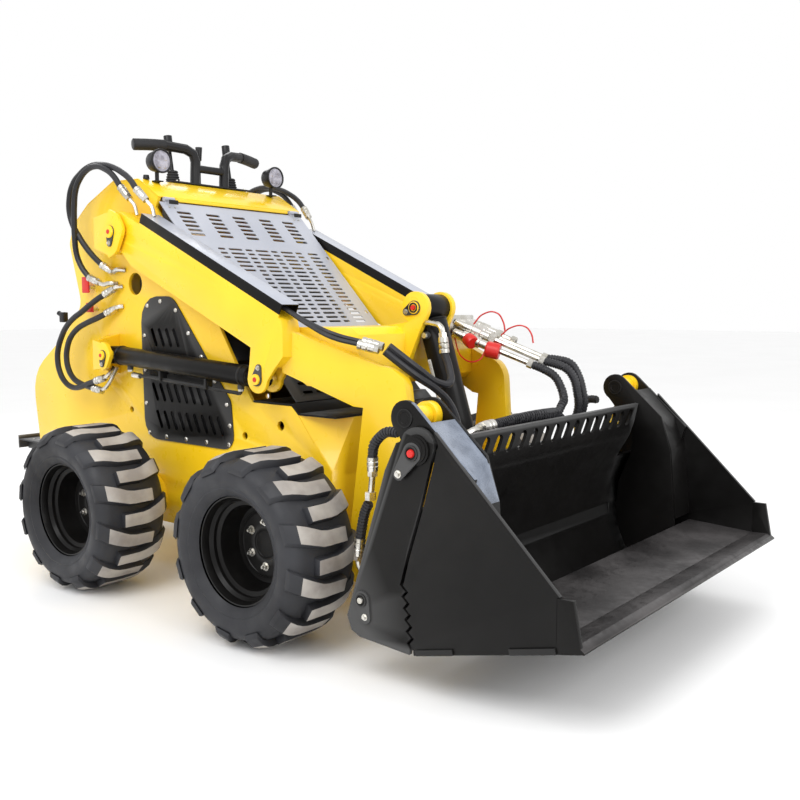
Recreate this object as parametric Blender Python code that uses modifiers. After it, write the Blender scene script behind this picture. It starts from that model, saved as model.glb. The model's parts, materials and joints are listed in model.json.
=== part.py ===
"""Stand-on mini skid steer loader with a 4-in-1 bucket, as separate jointed sub-parts.

Metres, +Z up, front towards -Y, the machine's own right side towards -X.
Outlines are written as (s, z): s runs rearward from the front axle, z up from the ground.
"""
import math

import bmesh
import bpy
from mathutils import Matrix, Vector

# ---- driving dimensions -------------------------------------------------------------------------
WHEELBASE = 0.705
TYRE_RADIUS = 0.2285
TYRE_WIDTH = 0.216
TYRE_CENTRE_X = 0.497
RIM_RADIUS = 0.128
HUB_DISC_X = 0.487
BODY_HALF = 0.284
PLATE = 0.010
GROUND_CLEARANCE = 0.150
LIP_FRONT = 0.853
PLATFORM_REAR = 1.500
BUCKET_HALF = 0.5307
BUCKET_PLATE = 0.010
BUCKET_POCKET = 0.095
ARM_THICK = 0.060
ARM_GAP = 0.008
FORWARD_ARM_THICK = 0.028
LIFT_BARREL_RADIUS = 0.0275
TILT_BARREL_RADIUS = 0.0375
CLAM_BARREL_RADIUS = 0.021
SHEET = 0.004

# ---- pins, as (s, z) ----------------------------------------------------------------------------
BOOM_PIVOT = (0.763, 1.000)
LIFT_BASE = (0.820, 0.642)
KNEE_PIN = (0.172, 0.600)
TILT_TOP = (-0.110, 0.782)
TILT_FOOT = (-0.2635, 0.3065)
BUCKET_PIN = (-0.210, 0.130)
CLAM_PIN = (-0.481, 0.503)
CLAM_TOP = (-0.441, 0.562)
CLAM_FOOT = (-0.336, 0.171)
BONNET_HINGE = (0.646, 1.094)

# ---- clearances and places worked out from them ----------------------------------------------------
SEAT = 0.0003
PIN_CLEAR = 0.0005
EAR_CLEAR = 0.006
EAR = 0.012
FRONT_AXLE_Y = -(PLATFORM_REAR - LIP_FRONT) / 2
SIDE_IN = BODY_HALF - PLATE
ARM_IN = BODY_HALF + ARM_GAP
ARM_OUT = ARM_IN + ARM_THICK
ARM_MID = (ARM_IN + ARM_OUT) / 2
EAR_IN = ARM_OUT + EAR_CLEAR
EAR_OUT = EAR_IN + EAR
BUCKET_IN = BUCKET_HALF - BUCKET_PLATE
INNER_PLATE = BUCKET_IN - BUCKET_POCKET
CLAM_CYLINDER_X = BUCKET_IN - BUCKET_POCKET / 2
ROUND = 24
CLAM_TRAVEL = 0.076
SIDES = {"right": -1, "left": 1}

YELLOW = (0.95, 0.62, 0.03, 1.0)
BLACK = (0.02, 0.02, 0.022, 1.0)
GREY = (0.62, 0.65, 0.70, 1.0)
RUBBER = (0.05, 0.05, 0.052, 1.0)
STEEL = (0.60, 0.60, 0.60, 1.0)


# ---- scene ---------------------------------------------------------------------------------------
for old in list(bpy.data.objects):
    bpy.data.objects.remove(old, do_unlink=True)
PARTS = bpy.data.collections.new("mini_skid_steer_loader")
CUTTERS = bpy.data.collections.new("joined_and_cut_shapes")
bpy.context.scene.collection.children.link(PARTS)
bpy.context.scene.collection.children.link(CUTTERS)


# ---- outlines --------------------------------------------------------------------------------------
def arc(centre, radius, start, end, steps=8):
    """Points on an arc about (s, z), angles in degrees from rearward towards up."""
    angles = [math.radians(start + (end - start) * i / steps) for i in range(steps + 1)]
    return [(centre[0] + radius * math.cos(a), centre[1] + radius * math.sin(a)) for a in angles]


def rounded(corners, steps=4):
    """An outline from (s, z, radius) corners, each rounded by its own radius."""
    outline = []
    for i, (s, z, radius) in enumerate(corners):
        here = Vector((s, z))
        back = (Vector(corners[i - 1][:2]) - here).normalized()
        ahead = (Vector(corners[(i + 1) % len(corners)][:2]) - here).normalized()
        if radius <= 0:
            outline.append((s, z))
            continue
        half = back.angle(ahead) / 2
        setback = radius / math.tan(half)
        first, last = here + back * setback, here + ahead * setback
        centre = here + (back + ahead).normalized() * (radius / math.sin(half))
        start, end = (first - centre).normalized(), (last - centre).normalized()
        for k in range(steps + 1):
            outline.append(tuple(centre + start.slerp(end, k / steps) * radius))
    return outline


def strip(path, thick):
    """A band of the given thickness on the left of an open (s, z) path."""
    outer = []
    for i, point in enumerate(path):
        here = Vector(point)
        before = (here - Vector(path[max(i - 1, 0)])).normalized() if i else None
        after = (Vector(path[i + 1]) - here).normalized() if i + 1 < len(path) else None
        before = before or after
        after = after or before
        normal = Vector((-before.y - after.y, before.x + after.x)).normalized()
        reach = thick / max(normal.dot(Vector((-after.y, after.x))), 0.3)
        outer.append(tuple(here + normal * reach))
    return list(path) + outer[::-1]


def along(start, end, distance):
    """The point at a distance from start towards end."""
    direction = (Vector(end) - Vector(start)).normalized()
    return tuple(Vector(start) + direction * distance)


# ---- shapes ----------------------------------------------------------------------------------------
def material(name, colour, roughness, metallic):
    made = bpy.data.materials.new(name)
    made.use_nodes = True
    shader = made.node_tree.nodes["Principled BSDF"]
    shader.inputs["Base Color"].default_value = colour
    shader.inputs["Roughness"].default_value = roughness
    shader.inputs["Metallic"].default_value = metallic
    return made


FINISHES = {"paint": (0.35, 0.0), "rubber": (0.85, 0.0), "metal": (0.3, 1.0), "plastic": (0.5, 0.0)}


def finish(piece, colour, kind="paint"):
    """Give a piece its own material and move it to the parts."""
    piece.data.materials.clear()
    piece.data.materials.append(material(piece.name, colour, *FINISHES[kind]))
    for owner in list(piece.users_collection):
        owner.objects.unlink(piece)
    PARTS.objects.link(piece)
    piece.hide_render = False
    piece.display_type = "TEXTURED"
    return piece


def new_object(name, mesh):
    """A mesh object among the shapes that are joined or cut, until it is finished."""
    piece = bpy.data.objects.new(name, mesh)
    CUTTERS.objects.link(piece)
    piece.hide_render = True
    piece.display_type = "WIRE"
    return piece


def from_curve(name, curve, matrix):
    """Turn a curve into a closed mesh object, with its caps welded."""
    holder = bpy.data.objects.new(name + "_curve", curve)
    CUTTERS.objects.link(holder)
    bpy.context.view_layer.update()
    mesh = bpy.data.meshes.new_from_object(holder.evaluated_get(bpy.context.evaluated_depsgraph_get()))
    bpy.data.objects.remove(holder, do_unlink=True)
    shape = bmesh.new()
    shape.from_mesh(mesh)
    bmesh.ops.remove_doubles(shape, verts=shape.verts, dist=0.00001)
    bmesh.ops.transform(shape, matrix=matrix, verts=shape.verts)
    bmesh.ops.recalc_face_normals(shape, faces=shape.faces)
    shape.to_mesh(mesh)
    shape.free()
    return new_object(name, mesh)


def plate(name, outline, x0, x1, holes=()):
    """A flat (s, z) outline, with holes, standing between two x planes."""
    curve = bpy.data.curves.new(name, "CURVE")
    curve.dimensions = "2D"
    curve.fill_mode = "BOTH"
    curve.extrude = abs(x1 - x0) / 2
    for loop in (outline, *holes):
        spline = curve.splines.new("POLY")
        spline.points.add(len(loop) - 1)
        for point, (s, z) in zip(spline.points, loop):
            point.co = (s, z, 0.0, 1.0)
        spline.use_cyclic_u = True
    stand = Matrix(((0, 0, 1, (x0 + x1) / 2), (1, 0, 0, FRONT_AXLE_Y), (0, 1, 0, 0), (0, 0, 0, 1)))
    return from_curve(name, curve, stand)


def tube(name, route, radius, resolution=2):
    """A round tube through (x, s, z) points."""
    curve = bpy.data.curves.new(name, "CURVE")
    curve.dimensions = "3D"
    curve.bevel_depth = radius
    curve.bevel_resolution = resolution
    curve.use_fill_caps = True
    spline = curve.splines.new("POLY")
    spline.points.add(len(route) - 1)
    for point, (x, s, z) in zip(spline.points, route):
        point.co = (x, s + FRONT_AXLE_Y, z, 1.0)
    return from_curve(name, curve, Matrix.Identity(4))


def rod_between(name, start, end, r_start, r_end=None, sides=ROUND):
    """A cylinder or cone between two (x, s, z) points."""
    first = Vector((start[0], start[1] + FRONT_AXLE_Y, start[2]))
    last = Vector((end[0], end[1] + FRONT_AXLE_Y, end[2]))
    shape = bmesh.new()
    bmesh.ops.create_cone(shape, cap_ends=True, segments=sides, radius1=r_start,
                          radius2=r_end or r_start, depth=(last - first).length)
    turn = (last - first).to_track_quat("Z", "Y").to_matrix().to_4x4()
    bmesh.ops.transform(shape, matrix=Matrix.Translation((first + last) / 2) @ turn, verts=shape.verts)
    mesh = bpy.data.meshes.new(name)
    shape.to_mesh(mesh)
    shape.free()
    return new_object(name, mesh)


def pin(name, at, x0, x1, radius, sides=ROUND):
    """A cylinder across the machine at an (s, z) point."""
    return rod_between(name, (x0, *at), (x1, *at), radius, sides=sides)


def box(name, x, s, z):
    """A box given its low and high x, s and z."""
    shape = bmesh.new()
    bmesh.ops.create_cube(shape, size=1.0)
    size = [abs(b - a) for a, b in (x, s, z)]
    centre = Vector(((x[0] + x[1]) / 2, (s[0] + s[1]) / 2 + FRONT_AXLE_Y, (z[0] + z[1]) / 2))
    bmesh.ops.scale(shape, vec=size, verts=shape.verts)
    bmesh.ops.translate(shape, vec=centre, verts=shape.verts)
    mesh = bpy.data.meshes.new(name)
    shape.to_mesh(mesh)
    shape.free()
    return new_object(name, mesh)


def hull(name, points):
    """The convex block around (x, s, z) points."""
    shape = bmesh.new()
    for x, s, z in points:
        shape.verts.new((x, s + FRONT_AXLE_Y, z))
    made = bmesh.ops.convex_hull(shape, input=shape.verts)
    loose = [v for v in made["geom_interior"] + made["geom_unused"] if isinstance(v, bmesh.types.BMVert)]
    bmesh.ops.delete(shape, geom=loose, context="VERTS")
    bmesh.ops.dissolve_limit(shape, angle_limit=0.001, verts=shape.verts, edges=shape.edges)
    bmesh.ops.recalc_face_normals(shape, faces=shape.faces)
    mesh = bpy.data.meshes.new(name)
    shape.to_mesh(mesh)
    shape.free()
    return new_object(name, mesh)


def turned(name, profile, x, s, z, steps=48):
    """A (radius, offset) profile turned about an axle across the machine; offset runs towards +X."""
    mesh = bpy.data.meshes.new(name)
    vertices = [(radius, 0.0, offset) for radius, offset in profile]
    mesh.from_pydata(vertices, [(i, i + 1) for i in range(len(vertices) - 1)], [])
    piece = new_object(name, mesh)
    screw = piece.modifiers.new("turn", "SCREW")
    screw.axis = "Z"
    screw.steps = steps
    screw.render_steps = steps
    screw.use_merge_vertices = True
    screw.merge_threshold = 0.00005
    screw.use_normal_calculate = True
    bpy.context.view_layer.update()
    made = bpy.data.meshes.new_from_object(piece.evaluated_get(bpy.context.evaluated_depsgraph_get()))
    bpy.data.objects.remove(piece, do_unlink=True)
    shape = bmesh.new()
    shape.from_mesh(made)
    bmesh.ops.remove_doubles(shape, verts=shape.verts, dist=0.00002)
    turn = Matrix.Rotation(math.radians(90), 4, "Y")
    bmesh.ops.transform(shape, matrix=Matrix.Translation((x, s + FRONT_AXLE_Y, z)) @ turn, verts=shape.verts)
    bmesh.ops.recalc_face_normals(shape, faces=shape.faces)
    shape.to_mesh(made)
    shape.free()
    return new_object(name, made)


def combine(piece, others, operation="UNION"):
    """Join shapes to a piece, or cut them from it."""
    for other in others:
        step = piece.modifiers.new(operation.lower() + "_" + other.name, "BOOLEAN")
        step.operation = operation
        step.object = other
        step.solver = "EXACT"
    return piece


def sheared(piece, start, lean):
    """Shift a piece's x in proportion to s, so that a flat arm leans inward."""
    shape = bmesh.new()
    shape.from_mesh(piece.data)
    for vertex in shape.verts:
        vertex.co.x += lean * (vertex.co.y - FRONT_AXLE_Y - start)
    bmesh.ops.recalc_face_normals(shape, faces=shape.faces)
    shape.to_mesh(piece.data)
    shape.free()
    return piece


def joint_empty(name, x, at):
    """An empty on a joint's axis, which carries the pieces that move."""
    empty = bpy.data.objects.new(name, None)
    empty.location = (x, at[0] + FRONT_AXLE_Y, at[1])
    PARTS.objects.link(empty)
    return empty


def carry(empty, *pieces):
    """Parent pieces to a joint's empty without moving them."""
    bpy.context.view_layer.update()
    for piece in pieces:
        piece.parent = empty
        piece.matrix_parent_inverse = empty.matrix_world.inverted()


# ---- wheels ----------------------------------------------------------------------------------------
def build_wheel(end, side):
    """A tyre and its dished rim, turning about their axle."""
    sign = SIDES[side]
    s = 0.0 if end == "front" else WHEELBASE
    half = TYRE_WIDTH / 2
    bead = RIM_RADIUS
    tyre_profile = [
        (bead, -0.80 * half), (bead + 0.030, -0.93 * half), (bead + 0.062, -half),
                    (TYRE_RADIUS - 0.022, -0.97 * half),
        (TYRE_RADIUS - 0.004, -0.80 * half), (TYRE_RADIUS, -0.45 * half), (TYRE_RADIUS, 0.45 * half),
        (TYRE_RADIUS - 0.004, 0.80 * half), (TYRE_RADIUS - 0.022, 0.97 * half), (bead + 0.062, half),
        (bead + 0.030, 0.93 * half), (bead, 0.80 * half), (bead, -0.80 * half)]
    centre_x = sign * TYRE_CENTRE_X
    tyre = turned(f"tyre_{end}_{side}", tyre_profile, centre_x, s, TYRE_RADIUS)
    finish(tyre, RUBBER, "rubber")
    flange = 0.80 * half - 0.004
    disc = sign * (HUB_DISC_X - TYRE_CENTRE_X)
    well = RIM_RADIUS - 0.030
    skin = 0.004
    rim_profile = [
        (RIM_RADIUS - SEAT, -flange), (RIM_RADIUS - SEAT, flange), (RIM_RADIUS - skin - SEAT, flange),
        (RIM_RADIUS - 2 * skin, flange - 0.018), (well, flange - 0.035), (well, -flange + 0.035),
        (RIM_RADIUS - 2 * skin, -flange + 0.018), (RIM_RADIUS - skin - SEAT, -flange),
                   (RIM_RADIUS - SEAT, -flange)]
    rim = turned(f"rim_{end}_{side}", rim_profile, centre_x, s, TYRE_RADIUS)
    dish = pin(f"dish_{end}_{side}", (s, TYRE_RADIUS), centre_x + disc - 0.003, centre_x + disc + 0.003,
               well + 0.008, 48)
    combine(rim, [dish])
    finish(rim, BLACK)
    axle = joint_empty(f"axle_{end}_{side}", centre_x, (s, TYRE_RADIUS))
    carry(axle, tyre, rim)


# ---- chassis ---------------------------------------------------------------------------------------
DECK_Z = 0.507
COWL_FRONT = (0.652, 1.098)
COWL_CREST = (0.745, 1.155)
DASH_FRONT = (0.871, 1.158)
DASH_KNEE = (1.006, 1.100)
DASH_REAR = (1.091, 1.039)
SIDE_OUTLINE = [
    (-0.020, GROUND_CLEARANCE, 0.0), (1.230, GROUND_CLEARANCE, 0.06), (1.335, 0.330, 0.10),
                (1.368, 0.560, 0.13),
    (1.147, 0.705, 0.06), (1.058, 0.790, 0.05), (1.116, 0.985, 0.03), (*DASH_REAR, 0.0), (*DASH_KNEE, 0.0),
    (*DASH_FRONT, 0.0), (*COWL_CREST, 0.0), (*COWL_FRONT, 0.0), (0.666, 1.070, 0.0), (0.403, 0.743, 0.03),
    (0.266, 0.530, 0.01), (0.119, 0.529, 0.01), (0.094, DECK_Z, 0.0), (0.010, 0.403, 0.0),
                (-0.020, 0.366, 0.0)]
VENT_OUTLINE = [
    (0.738, 0.395, 0.060), (0.745, 0.815, 0.075), (0.595, 0.815, 0.060), (0.350, 0.527, 0.040),
    (0.338, 0.392, 0.040)]
VENT_LAP = 0.020


def build_side(side):
    """A side plate with its openings and its two wheel motors, and the vent panel over it."""
    sign = SIDES[side]
    middle = Vector((0.56, 0.56))
    opening = []
    for s, z in rounded(VENT_OUTLINE):
        inward = (middle - Vector((s, z))).normalized() * VENT_LAP
        opening.append((s + inward.x, z + inward.y))
    holes = [opening, arc((0.772, 0.853), 0.033, 0, 345, 23)]
    side_plate = plate(f"side_plate_{side}", rounded(SIDE_OUTLINE), sign * SIDE_IN, sign * BODY_HALF, holes)
    for s in (0.0, WHEELBASE):
        neck = pin(f"motor_neck_{side}_{s}", (s, TYRE_RADIUS), sign * (SIDE_IN + 0.002),
                   sign * (BODY_HALF + 0.010), 0.017)
        motor = pin(f"wheel_motor_{side}_{s}", (s, TYRE_RADIUS), sign * (BODY_HALF + SEAT),
                    sign * (BODY_HALF + 0.085),
                    0.062)
        shaft = pin(f"shaft_{side}_{s}", (s, TYRE_RADIUS), sign * (BODY_HALF + 0.08),
                    sign * (HUB_DISC_X - 0.003 - SEAT),
                    0.040)
        combine(side_plate, [neck, motor, shaft])
    finish(side_plate, YELLOW)
    vent = plate(f"vent_panel_{side}", rounded(VENT_OUTLINE), sign * (BODY_HALF + SEAT),
                 sign * (BODY_HALF + SEAT + 0.003))
    finish(vent, BLACK)


def build_chassis():
    """The tub, nose, cowl and platform between the side plates, and the cooler behind the grille."""
    inside = SIDE_IN - SEAT
    tub_path = [(-0.018, GROUND_CLEARANCE + SHEET), (1.050, GROUND_CLEARANCE + SHEET), (1.050, 0.800),
                (1.102, 0.985),
                (1.085, 1.030)]
    finish(plate("belly_and_rear_panel", strip(tub_path, -SHEET), -inside, inside), YELLOW)
    front = -0.036
    top = DECK_Z + 0.002
    upper = [(BODY_HALF, 0.0935, top), (0.215, front, top), (BODY_HALF, 0.0097, 0.403),
             (BODY_HALF, -0.0203, 0.366),
             (0.245, front, 0.366)]
    lower = [(BODY_HALF - 0.001, -0.0213, 0.376), (0.244, front + 0.001, 0.376), (BODY_HALF, -0.0203, 0.360),
             (0.245, front, 0.360), (BODY_HALF, -0.0203, GROUND_CLEARANCE), (0.262, front, GROUND_CLEARANCE)]
    inner = [(BODY_HALF - 0.012, 0.12, top + 0.01), (0.207, front + 0.008, top + 0.01),
             (BODY_HALF - 0.012, 0.12, GROUND_CLEARANCE - 0.01),
             (0.252, front + 0.008, GROUND_CLEARANCE - 0.01),
             (0.236, front + 0.008, 0.366)]
    nose = hull("nose_guard", [(x * k, s, z) for x, s, z in upper for k in (-1, 1)])
    combine(nose, [hull("nose_lower", [(x * k, s, z) for x, s, z in lower for k in (-1, 1)])])
    combine(nose, [hull("nose_hollow", [(x * k, s, z) for x, s, z in inner for k in (-1, 1)])], "DIFFERENCE")
    deck_path = [(front, DECK_Z + SEAT), (0.094, DECK_Z + SEAT), (0.119, 0.5305), (0.262, 0.5305)]
    combine(nose, [plate("front_deck", strip(deck_path, 0.005), -BODY_HALF, BODY_HALF)])
    finish(nose, YELLOW)
    crest = [(s, z + SEAT) for s, z in (COWL_FRONT, COWL_CREST, DASH_FRONT, DASH_KNEE, DASH_REAR)]
    finish(plate("cowl", strip(crest, SHEET), -BODY_HALF, BODY_HALF), YELLOW)
    tread = box("operator_platform", (-inside, inside), (1.0544, PLATFORM_REAR), (0.318, 0.323))
    edge = box("platform_edge", (-inside, inside), (PLATFORM_REAR - 0.006, PLATFORM_REAR), (0.290, 0.335))
    ribs = [box(f"platform_rib_{k}", (k * 0.235 - 0.004, k * 0.235 + 0.004), (1.0544, PLATFORM_REAR - 0.003),
                (0.285, 0.320)) for k in (-1, 1)]
    combine(tread, [edge, *ribs])
    finish(tread, GREY, "metal")
    cooler_path = [(0.330, 0.640), (0.560, 0.880)]
    finish(plate("radiator", strip(cooler_path, -0.045), -inside, inside), BLACK)
    grille = plate("front_grille", strip([(0.1235, 0.5362), (0.248, 0.668)], 0.003), -0.262, 0.262)
    finish(grille, GREY)


EAR_KITE = [(0.012, 0.068, 0.008), (-0.030, 0.050, 0.020), (-0.060, 0.004, 0.030), (-0.022, -0.060, 0.025),
            (0.020, -0.078, 0.008)]


def build_bracket(name, at, side, height, reach, hole_pin):
    """An ear outside the arm, boxed back to the side plate, with the pin that it holds."""
    sign = SIDES[side]
    s, z = at
    kite = [(s + a * height, z + b * height, radius * height) for a, b, radius in EAR_KITE]
    ear = plate(name, rounded(kite) + [(s + reach, z - 0.045), (s + reach, z + 0.045)],
                sign * EAR_IN, sign * EAR_OUT)
    near = s + reach - 0.012
    block = hull(name + "_gusset", [
        (sign * EAR_OUT, near, z + 0.040), (sign * EAR_OUT, near, z - 0.040),
        (sign * EAR_OUT, s + reach, z + 0.035), (sign * EAR_OUT, s + reach, z - 0.035),
        (sign * (BODY_HALF + SEAT), near, z + 0.060), (sign * (BODY_HALF + SEAT), near, z - 0.060),
        (sign * (BODY_HALF + SEAT), s + reach + 0.055, z + 0.055),
        (sign * (BODY_HALF + SEAT), s + reach + 0.055, z - 0.055)])
    shaft = pin(name + "_pin", at, sign * (BODY_HALF + SEAT), sign * (EAR_OUT + 0.009), hole_pin)
    combine(ear, [block, shaft])
    return finish(ear, YELLOW)


def build_controls():
    """Handlebar and levers on their base plate, and the work lights, on top of the tower."""
    floor = 1.1629
    base = box("handlebar", (-0.150, 0.150), (0.744, 0.866), (floor, floor + 0.004))
    shapes = []
    for k in (-1, 1):
        route = [(k * 0.058, 0.765, floor + 0.001), (k * 0.058, 0.761, 1.235), (k * 0.066, 0.762, 1.258),
                 (k * 0.090, 0.768, 1.270), (k * 0.165, 0.795, 1.277), (k * 0.245, 0.820, 1.270)]
        shapes.append(tube(f"handle_{k}", route, 0.0155, 3))
        x = k * 0.116
        shapes.append(rod_between(f"lever_boot_{k}", (x, 0.800, floor + 0.001), (x, 0.800, 1.200), 0.022,
                                  0.014))
        shapes.append(rod_between(f"lever_stick_{k}", (x, 0.800, 1.190), (x, 0.820, 1.300), 0.006))
        shapes.append(rod_between(f"lever_knob_{k}", (x, 0.816, 1.275), (x, 0.821, 1.312), 0.013))
    shapes.append(rod_between("handle_cross", (-0.058, 0.762, 1.215), (0.058, 0.762, 1.215), 0.012))
    shapes.append(rod_between("auxiliary_lever", (0.0, 0.815, floor + 0.001), (0.0, 0.815, 1.255), 0.005))
    shapes.append(rod_between("auxiliary_tip", (0.0, 0.815, 1.250), (0.0, 0.815, 1.292), 0.008, 0.011))
    combine(base, shapes)
    finish(base, BLACK, "rubber")
    for side, sign in SIDES.items():
        lamp_s, lamp_z = 0.724, 1.212
        drum = rod_between(f"work_light_{side}", (sign * 0.229, lamp_s - 0.020, lamp_z),
                           (sign * 0.229, lamp_s + 0.020, lamp_z), 0.036, 0.028)
        foot = rod_between(f"lamp_foot_{side}", (sign * 0.229, lamp_s + 0.004, 1.1542),
                           (sign * 0.229, lamp_s + 0.004, lamp_z), 0.006, sides=12)
        combine(drum, [foot])
        finish(drum, BLACK, "plastic")


# ---- bonnet ----------------------------------------------------------------------------------------
def build_bonnet():
    """The sloped perforated bonnet, hinged at its top edge."""
    top = (BONNET_HINGE[0] + 0.003, BONNET_HINGE[1] - 0.010)
    bottom = (0.256, 0.676)
    half = BODY_HALF - 0.001
    sheet = plate("bonnet", strip([bottom, top], 0.003), -half, half)
    slope = (Vector(top) - Vector(bottom)).normalized()
    inward = Vector((slope.y, -slope.x))
    cheek = [bottom, top, tuple(Vector(top) + inward * 0.040 - slope * 0.040),
             tuple(Vector(bottom) + inward * 0.012)]
    cheeks = [plate(f"bonnet_cheek_{k}", cheek, k * (SIDE_IN - 0.002), k * (SIDE_IN - 0.005)) for k in (-1,
                                                                                                        1)]
    knuckles = [pin(f"bonnet_knuckle_{k}", BONNET_HINGE, k * 0.251 - 0.018, k * 0.251 + 0.018,
                    0.0068) for k in (-1, 1)]
    leaves = [plate(f"bonnet_leaf_{k}", [BONNET_HINGE, (top[0] - 0.012, top[1] - 0.010),
                                         (top[0] - 0.008, top[1] - 0.014),
                                         (top[0] + 0.002, top[1] - 0.004)], k * 0.251 - 0.016,
                    k * 0.251 + 0.016)
              for k in (-1, 1)]
    combine(sheet, cheeks + knuckles + leaves)
    finish(sheet, GREY)
    hinge = joint_empty("bonnet_hinge", 0.0, BONNET_HINGE)
    carry(hinge, sheet)


# ---- boom ------------------------------------------------------------------------------------------
ARM_BACK = 0.060
LUG = 0.036
REAR_ARM = (arc(BOOM_PIVOT, ARM_BACK, -112, 112, 12) + [(0.660, 1.020), (0.105, 0.766), (0.085, 0.752),
                                                        (0.078, 0.728),
            (0.078, 0.660), (0.112, 0.626)] + arc(KNEE_PIN, LUG, 185, 360, 9)
            + [(0.200, 0.640), (0.195, 0.681), (0.344, 0.746), (0.695, 0.901)])
FORWARD_ARM = ([(0.160, 0.648), (0.160, 0.750), (-0.150, 0.642)] + arc((-0.152, 0.577), 0.065, 88, 180,
                                                                       6)[1:]
               + [(-0.245, 0.240)] + arc(BUCKET_PIN, 0.045, 165, 262, 6)
               + [(-0.085, 0.100), (-0.060, 0.125), (-0.064, 0.150), (-0.108, 0.539), (-0.083, 0.541),
                  (0.106, 0.620)])
LEAN = 0.30
LEAN_AT = -0.170
LEAN_X = 0.245
CLEVIS_X = 0.046
GUARD_HEIGHT = 0.032
ARM_LAP = 0.006


def forward_face(s):
    """The x of the leaning forward arm's outer face at s."""
    return LEAN_X + LEAN * (s - LEAN_AT)


def build_boom():
    """Both lift arms with their hose guards, and the cross member with its clevis."""
    pieces = []
    guard_start, guard_end = (0.652, 1.0173), (0.092, 0.7609)
    slope = (Vector(guard_end) - Vector(guard_start)).normalized()
    up = Vector((slope.y, -slope.x))
    for side, sign in SIDES.items():
        arm = plate(f"boom_arm_{side}", REAR_ARM, sign * ARM_IN, sign * ARM_OUT)
        front = plate(f"forward_arm_{side}", FORWARD_ARM, sign * LEAN_X, sign * (LEAN_X - FORWARD_ARM_THICK))
        sheared(front, LEAN_AT, sign * LEAN)
        combine(arm, [front])
        slot = box(f"knee_slot_{side}", sorted((sign * (ARM_MID - 0.020), sign * (ARM_MID + 0.020))),
                   (0.106, 0.262), (0.540, 0.664))
        bores = [pin(f"pivot_bore_{side}", BOOM_PIVOT, sign * (ARM_IN - 0.01), sign * (ARM_OUT + 0.01),
                     0.018 + PIN_CLEAR),
                 pin(f"foot_bore_{side}", BUCKET_PIN, sign * 0.150, sign * 0.300, 0.014 + PIN_CLEAR)]
        combine(arm, [slot, *bores], "DIFFERENCE")
        heads = [pin(f"knee_head_{side}", KNEE_PIN, sign * (ARM_OUT - 0.002), sign * (ARM_OUT + 0.009),
                     0.014)]
        combine(arm, heads)
        low, high = 0.003 + ARM_LAP, GUARD_HEIGHT
        for edge, (x0, x1) in {"in": (ARM_IN, ARM_IN + 0.003), "out": (ARM_OUT - 0.003, ARM_OUT)}.items():
            wall = [tuple(Vector(end) + up * h) for end, h in ((guard_start, -low), (guard_start, high),
                                                               (guard_end, high),
                                                               (guard_end, -low))]
            combine(arm, [plate(f"guard_{edge}_{side}", wall, sign * x0, sign * x1)])
        roof = [tuple(Vector(end) + up * h) for end, h in ((guard_start, high - 0.003), (guard_start, high),
                                                           (guard_end, high), (guard_end, high - 0.003))]
        combine(arm, [plate(f"guard_roof_{side}", roof, sign * ARM_IN, sign * ARM_OUT)])
        finish(arm, YELLOW)
        pieces.append(arm)
    cross_outline = [(0.060, 0.585), (0.112, 0.620), (0.112, 0.722), (0.098, 0.733), (-0.060, 0.733),
                     (-0.078, 0.715),
                     (-0.078, 0.600), (-0.060, 0.585)]
    bulk = hull("boom_cross_member", [
        (k * (min(forward_face(s) - FORWARD_ARM_THICK, ARM_IN) - SEAT), s, z) for s,
                                      z in cross_outline for k in (-1, 1)])
    ears = []
    for k in (-1, 1):
        outline = arc(TILT_TOP, 0.042, -60, 200, 14) + [(-0.125, 0.720), (-0.070, 0.600), (0.060, 0.640),
                                                        (0.060, 0.725)]
        ears.append(plate(f"clevis_{k}", outline, k * CLEVIS_X, k * (CLEVIS_X + 0.016)))
    caps = [pin(f"clevis_head_{k}", TILT_TOP, k * (CLEVIS_X + 0.014), k * (CLEVIS_X + 0.022),
                0.016) for k in (-1, 1)]
    combine(bulk, ears + caps)
    finish(bulk, YELLOW)
    pieces.append(bulk)
    boom = joint_empty("boom_pivot", 0.0, BOOM_PIVOT)
    carry(boom, *pieces)


# ---- cylinders -------------------------------------------------------------------------------------
def build_cylinder(name, x, base, eye, radius, rod_radius, eye_width, gland, colour, inward=0.0):
    """A barrel hinged at its base and a rod that slides out of it, with an eye at each end."""
    length = (Vector(eye) - Vector(base)).length
    at = lambda distance: (x, *along(base, eye, distance))
    body = rod_between(name + "_barrel", at(radius * 0.9), at(length - gland), radius, sides=32)
    knuckle = pin(name + "_base_eye", base, x - eye_width / 2, x + eye_width / 2, radius * 0.95, 32)
    combine(body, [knuckle])
    tail = length - gland - 0.10
    bore = rod_between(name + "_bore", at(tail - inward - 0.02), at(length - gland + 0.01),
                       rod_radius + PIN_CLEAR)
    combine(body, [bore], "DIFFERENCE")
    finish(body, colour)
    rod = rod_between(name + "_rod", at(tail), at(length - 0.004), rod_radius)
    tip = pin(name + "_rod_eye", eye, x - eye_width / 2, x + eye_width / 2, max(0.022, rod_radius * 1.3), 32)
    combine(rod, [tip])
    finish(rod, STEEL, "metal")
    return body, rod


def build_lift_cylinders():
    for side, sign in SIDES.items():
        barrel, rod = build_cylinder(f"lift_{side}", sign * ARM_MID, LIFT_BASE, KNEE_PIN, LIFT_BARREL_RADIUS,
                                     0.014, 0.0388, 0.056, BLACK)
        bore = pin(f"lift_base_bore_{side}", LIFT_BASE, sign * (ARM_MID - 0.04), sign * (ARM_MID + 0.04),
                   0.014 + PIN_CLEAR)
        combine(barrel, [bore], "DIFFERENCE")
        swing = joint_empty(f"lift_swing_{side}", sign * ARM_MID, LIFT_BASE)
        slide = joint_empty(f"lift_slide_{side}", sign * ARM_MID, KNEE_PIN)
        carry(swing, barrel)
        carry(slide, rod)


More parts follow.
